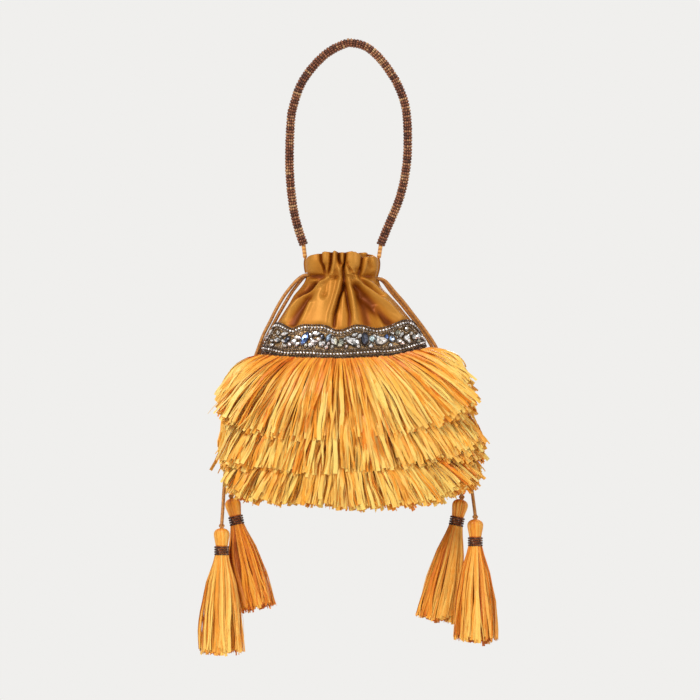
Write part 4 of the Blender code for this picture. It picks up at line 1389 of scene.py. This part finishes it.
def strand_tones(layer, clump, share, rng):
    """Tones: painted light on outer layers and tips, painted shade on inner layers and roots, and each strand
    and clump has its own.
    """
    own_tone = varied(rng, STRAND_TONE_SPREAD, CLUMP_TONE_SPREAD, clump, CLUMPS)
    layer = layer[:, None]
    tip_tone, tip_loss = TIP_PAINTED_LIGHT
    painted_layer_light = INNER_PAINTED_SHADE + LAYER_PAINTED_LIGHT * layer**0.8
    painted_layer_light = painted_layer_light + (tip_tone - tip_loss * layer) * smooth_step(share, 0.35, 1.0)
    root_painted_shade = ROOT_PAINTED_SHADE + (1 - ROOT_PAINTED_SHADE) * smooth_step(share, 0.0, 0.5)
    return np.clip((painted_layer_light + own_tone[:, None]) * root_painted_shade, 0, 1)


def fringe_lines(tier, facing, rng):
    """Centre lines, facing, widths and tones of one length of fringe's strands.

    A strand runs from the sewn line to its own place between the inner and the outer line of tips, and bows
    outwards on its way. Its face turns from outwards by an angle that changes evenly along it."""
    layer, clump, angle, tip_angle = strand_places(rng)
    root = strand_roots(tier, layer, angle, rng)
    tip = strand_tips(tier, root, layer, clump, tip_angle, rng)
    heading = np.stack([np.cos(angle), np.sin(angle), HEADING_RISE + 0 * angle], axis=1)
    sideways = np.stack([-np.sin(angle), np.cos(angle), 0 * angle], axis=1)
    lines = bent_strands(root, tip, layer, clump, heading, sideways, rng)
    count = len(layer)
    share = np.linspace(0, 1, FRINGE_ROWS)[None, :]
    root_twist = rng.normal(0, ROOT_TWIST_SPREAD, count)[:, None]
    twist = root_twist + rng.normal(0, TIP_TWIST_SPREAD, count)[:, None] * share
    faces = heading[:, None] * np.cos(twist)[..., None] + sideways[:, None] * np.sin(twist)[..., None]
    low, high = STRAND_WIDTHS
    widths = (low + (high - low) * rng.random(count) ** 1.5)[:, None]
    widths = widths * (ROOT_WIDTH + (1 - ROOT_WIDTH) * smooth_step(share, 0.0, 0.5))
    tones = strand_tones(layer, clump, share, rng)
    mirror = np.array([1.0, facing, 1.0])
    return lines * mirror, faces * mirror, widths, tones


def make_header_tape(tier):
    """The tape along the top of a fringe: the smooth pouch's points, lifted by the tape's bulge."""
    angle = np.arange(TAPE_COLUMNS) * 2 * math.pi / TAPE_COLUMNS
    half_width, _, _ = satin_size(TAPE_LEVEL_Z)
    across = TAPE_HALF_HEIGHT * np.linspace(1, -1, len(TAPE_BULGE))[:, None]
    z = header_height(tier, half_width * np.cos(angle)) + across
    angle = angle[None, :] + 0 * z
    stand = TAPE_LIFT * np.array(TAPE_BULGE)[:, None, None]
    points = satin_point(angle, z) + satin_axes(angle, z)[2] * stand
    tape = add_mesh("fringe_header_tape", points, grid_quads(*z.shape, around=True), MATERIALS["cord"])
    return dress(tape, "pouch", "raffia_fringe")


def make_fringe():
    """Three tiers of raffia fringe, each in a front and a back length."""
    rng = np.random.default_rng(SEED)
    for tier, values in FRINGE_TIERS.items():
        for side, facing in (("front", -1.0), ("back", 1.0)):
            lines, faces, widths, tones = fringe_lines(values, facing, rng)
            crease = rng.uniform(0.08, 0.26, len(lines)) * rng.choice((-1.0, 1.0), len(lines))
            name = f"{tier}_raffia_{side}"
            obj = add_ribbons(name, lines, faces, widths, crease, MATERIALS["raffia"], tones, rng)
            dress(obj, "pouch", "raffia_fringe", f"{tier}_fringe_{side}")
    make_header_tape(FRINGE_TIERS["upper"])


# Crystal band


def band_line(pixels, offset, spacing=None):
    """x and z along an edge of the band, below it by an offset, at an even spacing."""
    across, down = zip(*pixels)
    x = np.linspace(photo_x(across[0]), photo_x(across[-1]), BAND_LINE_POINTS)
    z = np.interp(x, photo_x(across), photo_z(down))
    reach = BAND_LINE_SMOOTHING
    window = np.hanning(2 * reach + 1)
    padded = np.concatenate([np.full(reach, z[0]), z, np.full(reach, z[-1])])
    z = np.convolve(padded, window / window.sum(), mode="valid")
    slope = np.gradient(z, x)
    shrink = np.sqrt(1 + slope**2)
    line = np.stack([x + offset * slope / shrink, 0 * x, z - offset / shrink], axis=1)
    if spacing:
        angle = front_angle(line[:, 0], line[:, 2])
        real = satin_point(angle, line[:, 2])
        even = even_points(real, spacing)
        return even[:, 0], even[:, 2]
    return line[:, 0], line[:, 2]


def make_band_cloth():
    """The gold cloth under the stones: straight lines from the top edging's line to the bottom one's."""
    top_x, top_z = band_line(BAND_TOP_PIXELS, 0.0)
    bottom_x, bottom_z = band_line(BAND_BOTTOM_PIXELS, 0.0)
    share = np.linspace(0, 1, BAND_CLOTH_COLUMNS)
    picks = np.linspace(0, len(top_x) - 1, BAND_CLOTH_COLUMNS).astype(int)
    down = np.linspace(*BAND_CLOTH_OVERHANG, BAND_CLOTH_ROWS)[:, None]
    x = top_x[picks] + (bottom_x[picks] - top_x[picks]) * down
    z = top_z[picks] + (bottom_z[picks] - top_z[picks]) * down
    points, _ = on_front(x, z, np.full(x.shape, BAND_LIFT))
    obj = add_mesh("band_gold_cloth", points, grid_quads(*x.shape)[:, ::-1], MATERIALS["band_cloth"])
    set_map(obj, share * 0.15 + 0 * z, z)
    return dress(obj, "pouch", "band_gold", "band_backing")


def bead_row(pixels, offset, radius, pitch):
    """Places and axes of a row of round beads that lies on the band."""
    x, z = band_line(pixels, offset, pitch)
    places, (along, up, outwards) = on_front(x, z, np.full(x.shape, BAND_LIFT + radius * EDGING_BEAD_LIFT))
    longer = pitch * EDGING_BEAD_LENGTH
    axes = np.stack([along * longer, up * radius, outwards * radius], axis=1)
    return places, axes


def make_edgings():
    """The rows of beads along the band's scalloped top and its bottom."""
    pieces = []
    edgings = (
        ("top", BAND_TOP_PIXELS, TOP_BEAD_ROWS, "upper_bead_edging"),
        ("bottom", BAND_BOTTOM_PIXELS, BOTTOM_BEAD_ROWS, "lower_bead_edging"),
    )
    for edge, pixels, rows, node in edgings:
        for kind in ("silver", "dark", "bronze", "copper"):
            found = [bead_row(pixels, *row[:3]) for row in rows if row[3] == kind]
            if not found:
                continue
            places = np.concatenate([row[0] for row in found])
            axes = np.concatenate([row[1] for row in found])
            material = MATERIALS[f"{kind}_beads"]
            obj = add_beads(f"{edge}_{kind}_beads", places, axes, material, SEED, 3)
            slot = "copper_beads" if kind == "copper" else "silver_beads"
            pieces.append(dress(obj, "pouch", slot, *([node] if kind == "silver" else [])))
    return pieces


def outline(kind, sides):
    """Points round a stone's outline, its length along the first axis, in shares of its half sizes.

    The round one is an ellipse. The marquise's second value is the sine's to the power 1.5, which gives it
    two points, and the pear's is the sine times a factor that falls towards its narrow end."""
    t = np.arange(sides) * 2 * math.pi / sides
    if kind == "marquise":
        return np.stack([np.cos(t), np.sin(t) * np.abs(np.sin(t)) ** MARQUISE_POINT], axis=1)
    if kind == "pear":
        return np.stack([np.cos(t), np.sin(t) * (1 - PEAR_TAPER * np.cos(t))], axis=1)
    return np.stack([np.cos(t), np.sin(t)], axis=1)


def stone_rings(x, z, kind, length, width, turn, levels):
    """Rings of points over a stone's outline, where it lies on the band. levels hold a share and a height."""
    centre, (along, up, outwards) = on_front(np.array([x]), np.array([z]), np.array([BAND_LIFT]))
    shape = outline(kind, STONE_SIDES) * (STONE_GROWTH * length / 2, STONE_GROWTH * width / 2)
    turned = math.radians(turn)
    right = shape[:, 0] * math.cos(turned) - shape[:, 1] * math.sin(turned)
    rise = shape[:, 0] * math.sin(turned) + shape[:, 1] * math.cos(turned)
    rings = []
    for share, height in levels:
        flat = along * (right * share)[:, None] + up * (rise * share)[:, None]
        rings.append(centre + flat + outwards * height)
    return np.array(rings)


def stone_mesh(x, z, kind, length, width, turn):
    """Points and faces of a cut stone: pavilion edge, girdle, two rings of crown facets and a table."""
    height = STONE_HEIGHT * min(1.0, LEAST_STONE_HEIGHT + width / FULL_HEIGHT_WIDTH)
    levels = [(share, rise * height) for share, rise in STONE_LEVELS]
    rings = stone_rings(x, z, kind, length, width, turn, levels)
    return rings.reshape(-1, 3), grid_quads(len(levels), STONE_SIDES, around=True)


def setting_mesh(x, z, kind, length, width, turn):
    """Points and faces of the metal rim that holds a stone."""
    rim = 1 + SETTING_WALL / width
    levels = [(rim + growth, height) for growth, height in SETTING_LEVELS]
    rings = stone_rings(x, z, kind, length, width, turn, levels)
    return rings.reshape(-1, 3), grid_quads(len(levels), STONE_SIDES, around=True)


def joined(meshes):
    """Several meshes' points and faces as one."""
    starts = np.cumsum([0] + [len(points) for points, _ in meshes[:-1]])
    points = np.concatenate([points for points, _ in meshes])
    quads = np.concatenate([quads + start for (_, quads), start in zip(meshes, starts)])
    return points, quads


def inside_band(rng, count, margins):
    """Random x and z on the band, at least the two margins below its top edge and above its bottom edge."""
    top_x, top_z = band_line(BAND_TOP_PIXELS, margins[0])
    bottom_x, bottom_z = band_line(BAND_BOTTOM_PIXELS, -margins[1])
    x = rng.uniform(top_x[8], top_x[-8], count)
    share = rng.random(count)
    return x, np.interp(x, bottom_x, bottom_z) * (1 - share) + np.interp(x, top_x, top_z) * share


def scatter_stones(places, rng):
    """The smallest stones, which fill the room between the others: by tint, each as stone_mesh takes it."""
    stones = {}
    for x, z in zip(*inside_band(rng, SCATTER_TRIES, SCATTER_MARGINS)):
        if any(math.hypot(x - sx, z - sz) < reach + SCATTER_REACH for sx, sz, reach in places):
            continue
        length = rng.uniform(*SCATTER_LENGTHS)
        kind = rng.choice(("oval", "marquise", "pear"))
        tint = str(rng.choice(SCATTER_TINTS))
        width = length * rng.uniform(*SCATTER_WIDTHS)
        stones.setdefault(tint, []).append((x, z, kind, length, width, rng.uniform(0, 180)))
        places.append((x, z, length / 2))
    return stones


def make_stones():
    """The crystals of the band: larger ones where their nodes are, smaller ones by tint, and their rims."""
    rng = np.random.default_rng(SEED)
    settings = []
    places = []
    for label, kind, length, width, turn, tint in CRYSTALS:
        low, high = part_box("crystal_" + label)
        x, z = (low.x + high.x) / 2, (low.z + high.z) / 2
        points, quads = stone_mesh(x, z, kind, length, width, turn)
        # Painted reflections: a random brightness for each facet
        tones = rng.random(len(quads))
        name = f"stone_{label}"
        obj = add_mesh(name, points, quads, MATERIALS["stone_" + tint], smooth=False, face_tones=tones)
        dress(obj, "pouch", CRYSTAL_SLOTS.get(tint, "crystal_tinted"), "crystal_" + label)
        settings.append(setting_mesh(x, z, kind, length, width, turn))
        places.append((x, z, (length + width) / 4))
    for (across, down), _, length, width, _, _ in SMALL_STONES:
        places.append((float(photo_x(across)), float(photo_z(down)), (length + width) / 4))
    scattered = scatter_stones(places, rng)
    for tint in TINTS:
        meshes = []
        for (across, down), kind, length, width, turn, own in SMALL_STONES:
            if own != tint:
                continue
            x, z = float(photo_x(across)), float(photo_z(down))
            meshes.append(stone_mesh(x, z, kind, length, width, turn))
            settings.append(setting_mesh(x, z, kind, length, width, turn))
        for stone in scattered.get(tint, ()):
            meshes.append(stone_mesh(*stone))
            settings.append(setting_mesh(*stone))
        if meshes:
            points, quads = joined(meshes)
            # Painted reflections: a random brightness for each facet
            tones = rng.random(len(quads))
            name = f"small_stones_{tint}"
            obj = add_mesh(name, points, quads, MATERIALS["stone_" + tint], smooth=False, face_tones=tones)
            dress(obj, "pouch", "crystal_tinted")
    points, quads = joined(settings)
    rims = add_mesh("stone_settings", points, quads, MATERIALS["setting"])
    dress(rims, "pouch", "band_gold")
    return places


def make_filling_beads(stones):
    """Tiny gold and smoky beads sewn over the cloth between the stones."""
    rng = np.random.default_rng(SEED)
    kept = []
    radius = FILLING_RADIUS
    for x, z in zip(*inside_band(rng, FILLING_TRIES, FILLING_MARGINS)):
        clear = all(math.hypot(x - sx, z - sz) > reach + radius for sx, sz, reach in stones)
        if clear and all(math.hypot(x - kx, z - kz) > FILLING_SPACING * radius for kx, kz in kept):
            kept.append((x, z))
    x, z = np.array(kept).T
    places, (along, up, outwards) = on_front(x, z, np.full(x.shape, BAND_LIFT + radius * FILLING_LIFT))
    axes = np.stack([along, up, outwards], axis=1) * radius
    beads = add_beads("band_filling_beads", places, axes, MATERIALS["filling_beads"], SEED, 2)
    dress(beads, "pouch", "band_gold")


# Tassels


def tassel_frame(label):
    """Matrix rows and origin that turn a tassel's own upright points into the object's frame."""
    pivot_x, pivot_z, side, _, tilt = TASSELS[label]
    turned = math.radians(tilt)
    turn = np.array(
        [
            [math.cos(turned), 0.0, math.sin(turned)],
            [0.0, 1.0, 0.0],
            [-math.sin(turned), 0.0, math.cos(turned)],
        ]
    )
    return turn, np.array([pivot_x, side * TASSEL_Y, pivot_z])


def placed(label, points):
    """A tassel's own points, flattened front to back, in the object's frame."""
    turn, pivot = tassel_frame(label)
    return (points * (1.0, TASSEL_FLATNESS, 1.0)) @ turn.T + pivot


def skirt_radius(share):
    """Radius of a tassel's skirt at a share of its length."""
    return np.interp(share, *SKIRT_PROFILE) * SKIRT_RADIUS


def make_tassel_skirt(label, rng):
    """The strands of a tassel, which hang in uneven locks with an uneven hem.

    A strand keeps its share of the skirt's radius on the way down, and leans to its lock's middle."""
    count = SKIRT_STRANDS
    length = TASSELS[label][3]
    top = -HEAD_LENGTH - COLLAR_LENGTH + SKIRT_TUCK
    base = rng.random(count)
    lock = np.floor(base * SKIRT_LOCKS).astype(int)
    middle = (lock + 0.5 + rng.normal(0, 0.2, SKIRT_LOCKS)[lock]) / SKIRT_LOCKS
    depth = 1 - SKIRT_INNER_SHARE * rng.random(count) ** 1.6
    share = np.linspace(0, 1, SKIRT_ROWS)[None, :]
    lock_swell = rng.normal(0, LOCK_SWELL, SKIRT_LOCKS)[lock][:, None]
    turn = 2 * math.pi * (base[:, None] + (middle - base)[:, None] * LOCK_PULL * np.sin(math.pi * share))
    turn += varied(rng, SKIRT_TURN_SPREAD, LOCK_TURN_SPREAD, lock, SKIRT_LOCKS)[:, None] * share**2
    radius = skirt_radius(share) * depth[:, None] * (1 + lock_swell * np.sin(math.pi * share * 0.8))
    radius = radius * (1 + rng.normal(0, SKIRT_RADIUS_SPREAD, count)[:, None] * share)
    waves = rng.uniform(6, 14, count)[:, None] * share + rng.uniform(0, 2 * math.pi, count)[:, None]
    radius += SKIRT_WAVER * np.sin(waves) * share
    turn += SKIRT_WAVER_TURN * np.cos(waves) * share
    uneven = rng.normal(0, LOCK_HEM_SPREAD, SKIRT_LOCKS)[lock] + rng.normal(0, SKIRT_HEM_SPREAD, count)
    uneven = uneven + SKIRT_HEM_RISE
    z = top + (-length + uneven[:, None] - top) * share
    lines = np.stack([radius * np.cos(turn), radius * np.sin(turn), z], axis=-1)
    twist = turn + rng.normal(0, 0.45, count)[:, None]
    facing = np.stack([np.cos(twist), np.sin(twist), 0 * twist], axis=-1)
    low, high = SKIRT_STRAND_WIDTHS
    widths = (low + (high - low) * rng.random(count) ** 1.6)[:, None]
    widths = widths * (SKIRT_TOP_WIDTH + (1 - SKIRT_TOP_WIDTH) * smooth_step(share, 0.0, 0.4))
    own_tone = TASSEL_PAINTED_SHADES[label] + varied(rng, SKIRT_TONE_SPREAD, LOCK_TONE_SPREAD, lock, SKIRT_LOCKS)
    # Painted shade: strands nearer the skirt's middle are darker, and all are darker towards the top under
    # the collar
    tones = np.clip((0.76 * depth**1.4 + own_tone)[:, None] * (0.80 + 0.20 * share), 0, 1)
    own_turn, _ = tassel_frame(label)
    crease = rng.uniform(0.10, 0.28, count)
    obj = add_ribbons(
        f"{label}_silk_skirt",
        placed(label, lines),
        facing @ own_turn.T,
        widths,
        crease,
        MATERIALS["silk"],
        tones,
        rng,
    )
    return dress(obj, f"{label}_tassel", "tassel_thread", f"{label}_tassel_skirt")


def make_tassel_head(label, rng):
    """The wrapped head: threads side by side from the knot over a dome and down through the collar.

    The radius is a circle's arc over the dome, times a smooth taper from the head's to the neck's."""
    share = np.linspace(0, 1 + COLLAR_LENGTH / HEAD_LENGTH, 25)
    arc = np.sqrt(np.clip(1 - (1 - share / HEAD_DOME) ** 2, 0, 1))
    dome = np.where(share < HEAD_DOME, arc, 1.0)
    taper = NECK_RADIUS + (HEAD_RADIUS - NECK_RADIUS) * (1 - smooth_step(share, HEAD_DOME, 1.0))
    radius = np.maximum(dome * taper, 0.0010) - COLLAR_STAND * smooth_step(share, 0.94, 1.06)
    z = -HEAD_TOP - (HEAD_LENGTH - HEAD_TOP) * share
    angle = np.arange(HEAD_THREADS) * 2 * math.pi / HEAD_THREADS
    turn = angle[:, None] + HEAD_THREAD_TURN * share[None, :] + rng.normal(0, 0.03, HEAD_THREADS)[:, None]
    lines = np.stack([radius * np.cos(turn), radius * np.sin(turn), z + 0 * turn], axis=-1)
    slope = np.clip((HEAD_DOME - share) / HEAD_DOME, 0, 1)
    facing = np.stack([np.cos(turn), np.sin(turn), slope * 1.5 + 0 * turn], axis=-1)
    widths = 2.5 * math.pi * np.maximum(radius, 0.0016)[None, :] / HEAD_THREADS + 0 * turn
    own_turn, _ = tassel_frame(label)
    # Painted shade: darker where the threads go under the collar, and by each tassel's painted shade; the
    # threads are also darker at the top round the knot
    tones = 0.32 + 0.6 * TASSEL_PAINTED_SHADES[label] + rng.normal(0, 0.15, HEAD_THREADS)[:, None]
    tones = tones + 0.22 * smooth_step(share, 0.02, 0.3) - 0.45 * smooth_step(share, 0.94, 1.0)
    obj = add_ribbons(
        f"{label}_wrapped_head",
        placed(label, lines),
        unit(facing) @ own_turn.T,
        widths,
        np.full(HEAD_THREADS, 0.26),
        MATERIALS["silk"],
        np.clip(tones, 0, 1),
        rng,
    )
    return dress(obj, f"{label}_tassel", "tassel_thread", f"{label}_tassel_head")


def make_knot(label):
    """The drawstring's end knot on top of the tassel, a small trefoil of cord.

    Its line is sin t + 2 sin 2t across, cos t - 2 cos 2t up, and minus sin 3t front to back, for t once
    round, all scaled to the knot's radius."""
    t = np.linspace(0, 2 * math.pi, 60, endpoint=False)
    x = np.sin(t) + 2 * np.sin(2 * t)
    y = np.cos(t) - 2 * np.cos(2 * t)
    points = np.stack([x, -np.sin(3 * t) * 1.1, y], axis=1) / 3 * (KNOT_RADIUS - KNOT_INSET)
    _, pivot = tassel_frame(label)
    knot = add_cord(f"{label}_cord_knot", points + pivot, KNOT_CORD_RADIUS, MATERIALS["cord"], closed=True)
    return dress(knot, f"{label}_tassel", "satin_cord")


def make_tassel_collar(label):
    """Rows of beads on a circle round the tassel's neck, every other row half a bead further round."""
    places = []
    axes = []
    turn, _ = tassel_frame(label)
    pitch = COLLAR_LENGTH / COLLAR_ROWS
    bead = COLLAR_BEAD_RADIUS
    reach = COLLAR_RADIUS - bead
    for row in range(COLLAR_ROWS):
        angle = (np.arange(COLLAR_BEADS) + 0.5 * (row % 2)) * 2 * math.pi / COLLAR_BEADS
        z = -HEAD_LENGTH - pitch * (row + 0.5)
        ring = np.stack([reach * np.cos(angle), reach * np.sin(angle), z + 0 * angle], axis=1)
        places.append(placed(label, ring))
        outwards = unit(np.stack([np.cos(angle) * TASSEL_FLATNESS, np.sin(angle), 0 * angle], axis=1))
        upright = np.zeros_like(outwards) + (0.0, 0.0, 1.0)
        round_axis = np.cross(upright, outwards)
        own = np.stack([round_axis * bead, outwards * bead, upright * pitch * COLLAR_BEAD_LENGTH], axis=1)
        axes.append(own @ turn.T)
    places = np.concatenate(places)
    axes = np.concatenate(axes)
    obj = add_beads(f"{label}_collar_beads", places, axes, MATERIALS["copper_beads"], SEED, 3)
    return dress(obj, f"{label}_tassel", "copper_beads", f"{label}_tassel_collar")


def make_tassels():
    """Every tassel and the drawstring tail that it hangs on."""
    rng = np.random.default_rng(SEED)
    for label in TASSELS:
        head = make_tassel_head(label, rng)
        knot = make_knot(label)
        collar = make_tassel_collar(label)
        make_tassel_skirt(label, rng)
        make_tail(label)


# Studio


def make_camera():
    """A long lens straight in front, framed as the photograph is."""
    data = bpy.data.cameras.new("camera")
    camera = bpy.data.objects.new("camera", data)
    bpy.context.scene.collection.objects.link(camera)
    middle = IMAGE_PIXELS / 2
    camera.location = (float(photo_x(middle)), -CAMERA_DISTANCE, float(photo_z(middle)))
    camera.rotation_euler = (math.radians(90), 0.0, 0.0)
    data.sensor_width = SENSOR * 1000
    data.lens = SENSOR * 1000 * CAMERA_DISTANCE / (IMAGE_PIXELS * PIXEL)
    data.clip_end = 30.0
    bpy.context.scene.camera = camera


def add_area_light(name, place, size, watts, colour):
    """A square soft light that looks at the middle of the bag."""
    data = bpy.data.lights.new(name, "AREA")
    data.size = size
    data.energy = watts
    data.color = colour
    light = bpy.data.objects.new(name, data)
    bpy.context.scene.collection.objects.link(light)
    light.location = place
    light.rotation_euler = (Vector(LAMP_TARGET) - Vector(place)).to_track_quat("-Z", "Y").to_euler()


def make_studio():
    """Pale world, pale floor well below the hanging pouch, a large key light and two weaker ones."""
    world = bpy.data.worlds.new("studio")
    bpy.context.scene.world = world
    world.use_nodes = True
    tree = world.node_tree
    seen = tree.nodes["Background"]
    seen.inputs["Color"].default_value = (*BACKDROP_COLOUR, 1.0)
    seen.inputs["Strength"].default_value = 1.0
    ambient = tree.nodes.new("ShaderNodeBackground")
    ambient.inputs["Color"].default_value = (*AMBIENT_COLOUR, 1.0)
    ambient.inputs["Strength"].default_value = AMBIENT_STRENGTH
    path = tree.nodes.new("ShaderNodeLightPath")
    mix = tree.nodes.new("ShaderNodeMixShader")
    shown = path.outputs["Is Camera Ray"]
    for kind in ("Is Glossy Ray", "Is Transmission Ray"):
        either = tree.nodes.new("ShaderNodeMath")
        either.operation = "MAXIMUM"
        tree.links.new(shown, either.inputs[0])
        tree.links.new(path.outputs[kind], either.inputs[1])
        shown = either.outputs["Value"]
    tree.links.new(shown, mix.inputs["Fac"])
    tree.links.new(ambient.outputs["Background"], mix.inputs[1])
    tree.links.new(seen.outputs["Background"], mix.inputs[2])
    tree.links.new(mix.outputs["Shader"], tree.nodes["World Output"].inputs["Surface"])
    for name, lamp in LAMPS.items():
        add_area_light(name, *lamp)
    reach = FLOOR_HALF_SIDE
    sides = ((-reach, -reach), (reach, -reach), (reach, reach), (-reach, reach))
    corners = np.array([(x, y, FLOOR_Z) for x, y in sides])
    floor_look = mottled_material("floor_look", (0.84, 0.835, 0.82), (0.86, 0.855, 0.84), 0.9, 3.0)
    floor = add_mesh("floor", corners, np.array([[0, 1, 2, 3]]), floor_look)
    bpy.context.scene.view_settings.view_transform = "Standard"


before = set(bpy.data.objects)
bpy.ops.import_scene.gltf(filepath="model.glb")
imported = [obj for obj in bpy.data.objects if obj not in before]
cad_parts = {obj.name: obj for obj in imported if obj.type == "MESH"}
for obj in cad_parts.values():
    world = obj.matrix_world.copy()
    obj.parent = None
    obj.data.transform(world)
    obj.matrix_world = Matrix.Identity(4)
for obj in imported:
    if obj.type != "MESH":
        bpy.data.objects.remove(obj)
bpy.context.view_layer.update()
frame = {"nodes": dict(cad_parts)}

# Colours of strands and beads, from the darkest tone to the lightest
RAFFIA_STOPS = (
    (0.06, (0.40, 0.045, 0.002)),
    (0.27, (0.80, 0.19, 0.007)),
    (0.54, (0.97, 0.41, 0.030)),
    (0.90, (1.0, 0.70, 0.17)),
)
SILK_STOPS = (
    (0.06, (0.34, 0.036, 0.002)),
    (0.30, (0.74, 0.16, 0.006)),
    (0.58, (0.92, 0.34, 0.022)),
    (0.94, (1.0, 0.62, 0.13)),
)
HANDLE_STOPS = (
    (0.0, (0.055, 0.018, 0.008)),
    (0.30, (0.17, 0.048, 0.019)),
    (0.55, (0.31, 0.105, 0.042)),
    (0.90, (0.56, 0.33, 0.15)),
)
COPPER_STOPS = ((0.0, (0.045, 0.014, 0.006)), (0.7, (0.12, 0.042, 0.019)), (1.0, (0.36, 0.19, 0.10)))
SILVER_STOPS = ((0.0, (0.22, 0.19, 0.18)), (0.4, (0.46, 0.42, 0.40)), (1.0, (0.86, 0.84, 0.83)))
DARK_STOPS = ((0.0, (0.030, 0.015, 0.010)), (0.7, (0.070, 0.040, 0.028)), (1.0, (0.26, 0.20, 0.16)))
BRONZE_STOPS = ((0.0, (0.10, 0.060, 0.040)), (0.6, (0.24, 0.16, 0.11)), (1.0, (0.55, 0.47, 0.40)))
FILLING_STOPS = (
    (0.0, (0.080, 0.045, 0.025)),
    (0.4, (0.33, 0.20, 0.10)),
    (0.7, (0.60, 0.50, 0.40)),
    (1.0, (0.92, 0.88, 0.83)),
)
MATERIALS = {
    "satin": satin_material(),
    "lining": lining_material(),
    "cord": cord_material(),
    "wrapped_thread": wrapped_thread_material(),
    "dark_thread_and_gap_shade": mottled_material(
        "dark_thread_and_gap_shade_look", (0.030, 0.010, 0.005), (0.075, 0.024, 0.010), 0.7, 900.0
    ),
    "raffia": strand_material("raffia_look", RAFFIA_STOPS, 0.34, 1300.0),
    "silk": strand_material("silk_look", SILK_STOPS, 0.34, 1800.0),
    "handle_beads": bead_material("handle_beads_look", HANDLE_STOPS, 0.34, 0.35, 0.08),
    "copper_beads": bead_material("copper_beads_look", COPPER_STOPS, 0.42, 0.40, 0.0),
    "silver_beads": bead_material("silver_beads_look", SILVER_STOPS, 0.16, 0.85),
    "dark_beads": bead_material("dark_beads_look", DARK_STOPS, 0.26, 0.5),
    "bronze_beads": bead_material("bronze_beads_look", BRONZE_STOPS, 0.24, 0.6),
    "filling_beads": bead_material("filling_beads_look", FILLING_STOPS, 0.20, 0.6),
    "setting": mottled_material(
        "setting_look", (0.050, 0.032, 0.020), (0.16, 0.11, 0.07), 0.34, 700.0, Metallic=0.7
    ),
    "band_cloth": band_cloth_material(),
}
for tint_name, tint_colour in TINTS.items():
    MATERIALS["stone_" + tint_name] = stone_material(f"stone_{tint_name}_look", tint_colour)

make_camera()
make_tassels()
make_rings()
make_handle()
paint_handle_core(frame["nodes"])
satin = make_satin()
lining = make_lining()
make_fringe()
band_cloth = make_band_cloth()
edgings = make_edgings()
make_filling_beads(make_stones())
make_studio()
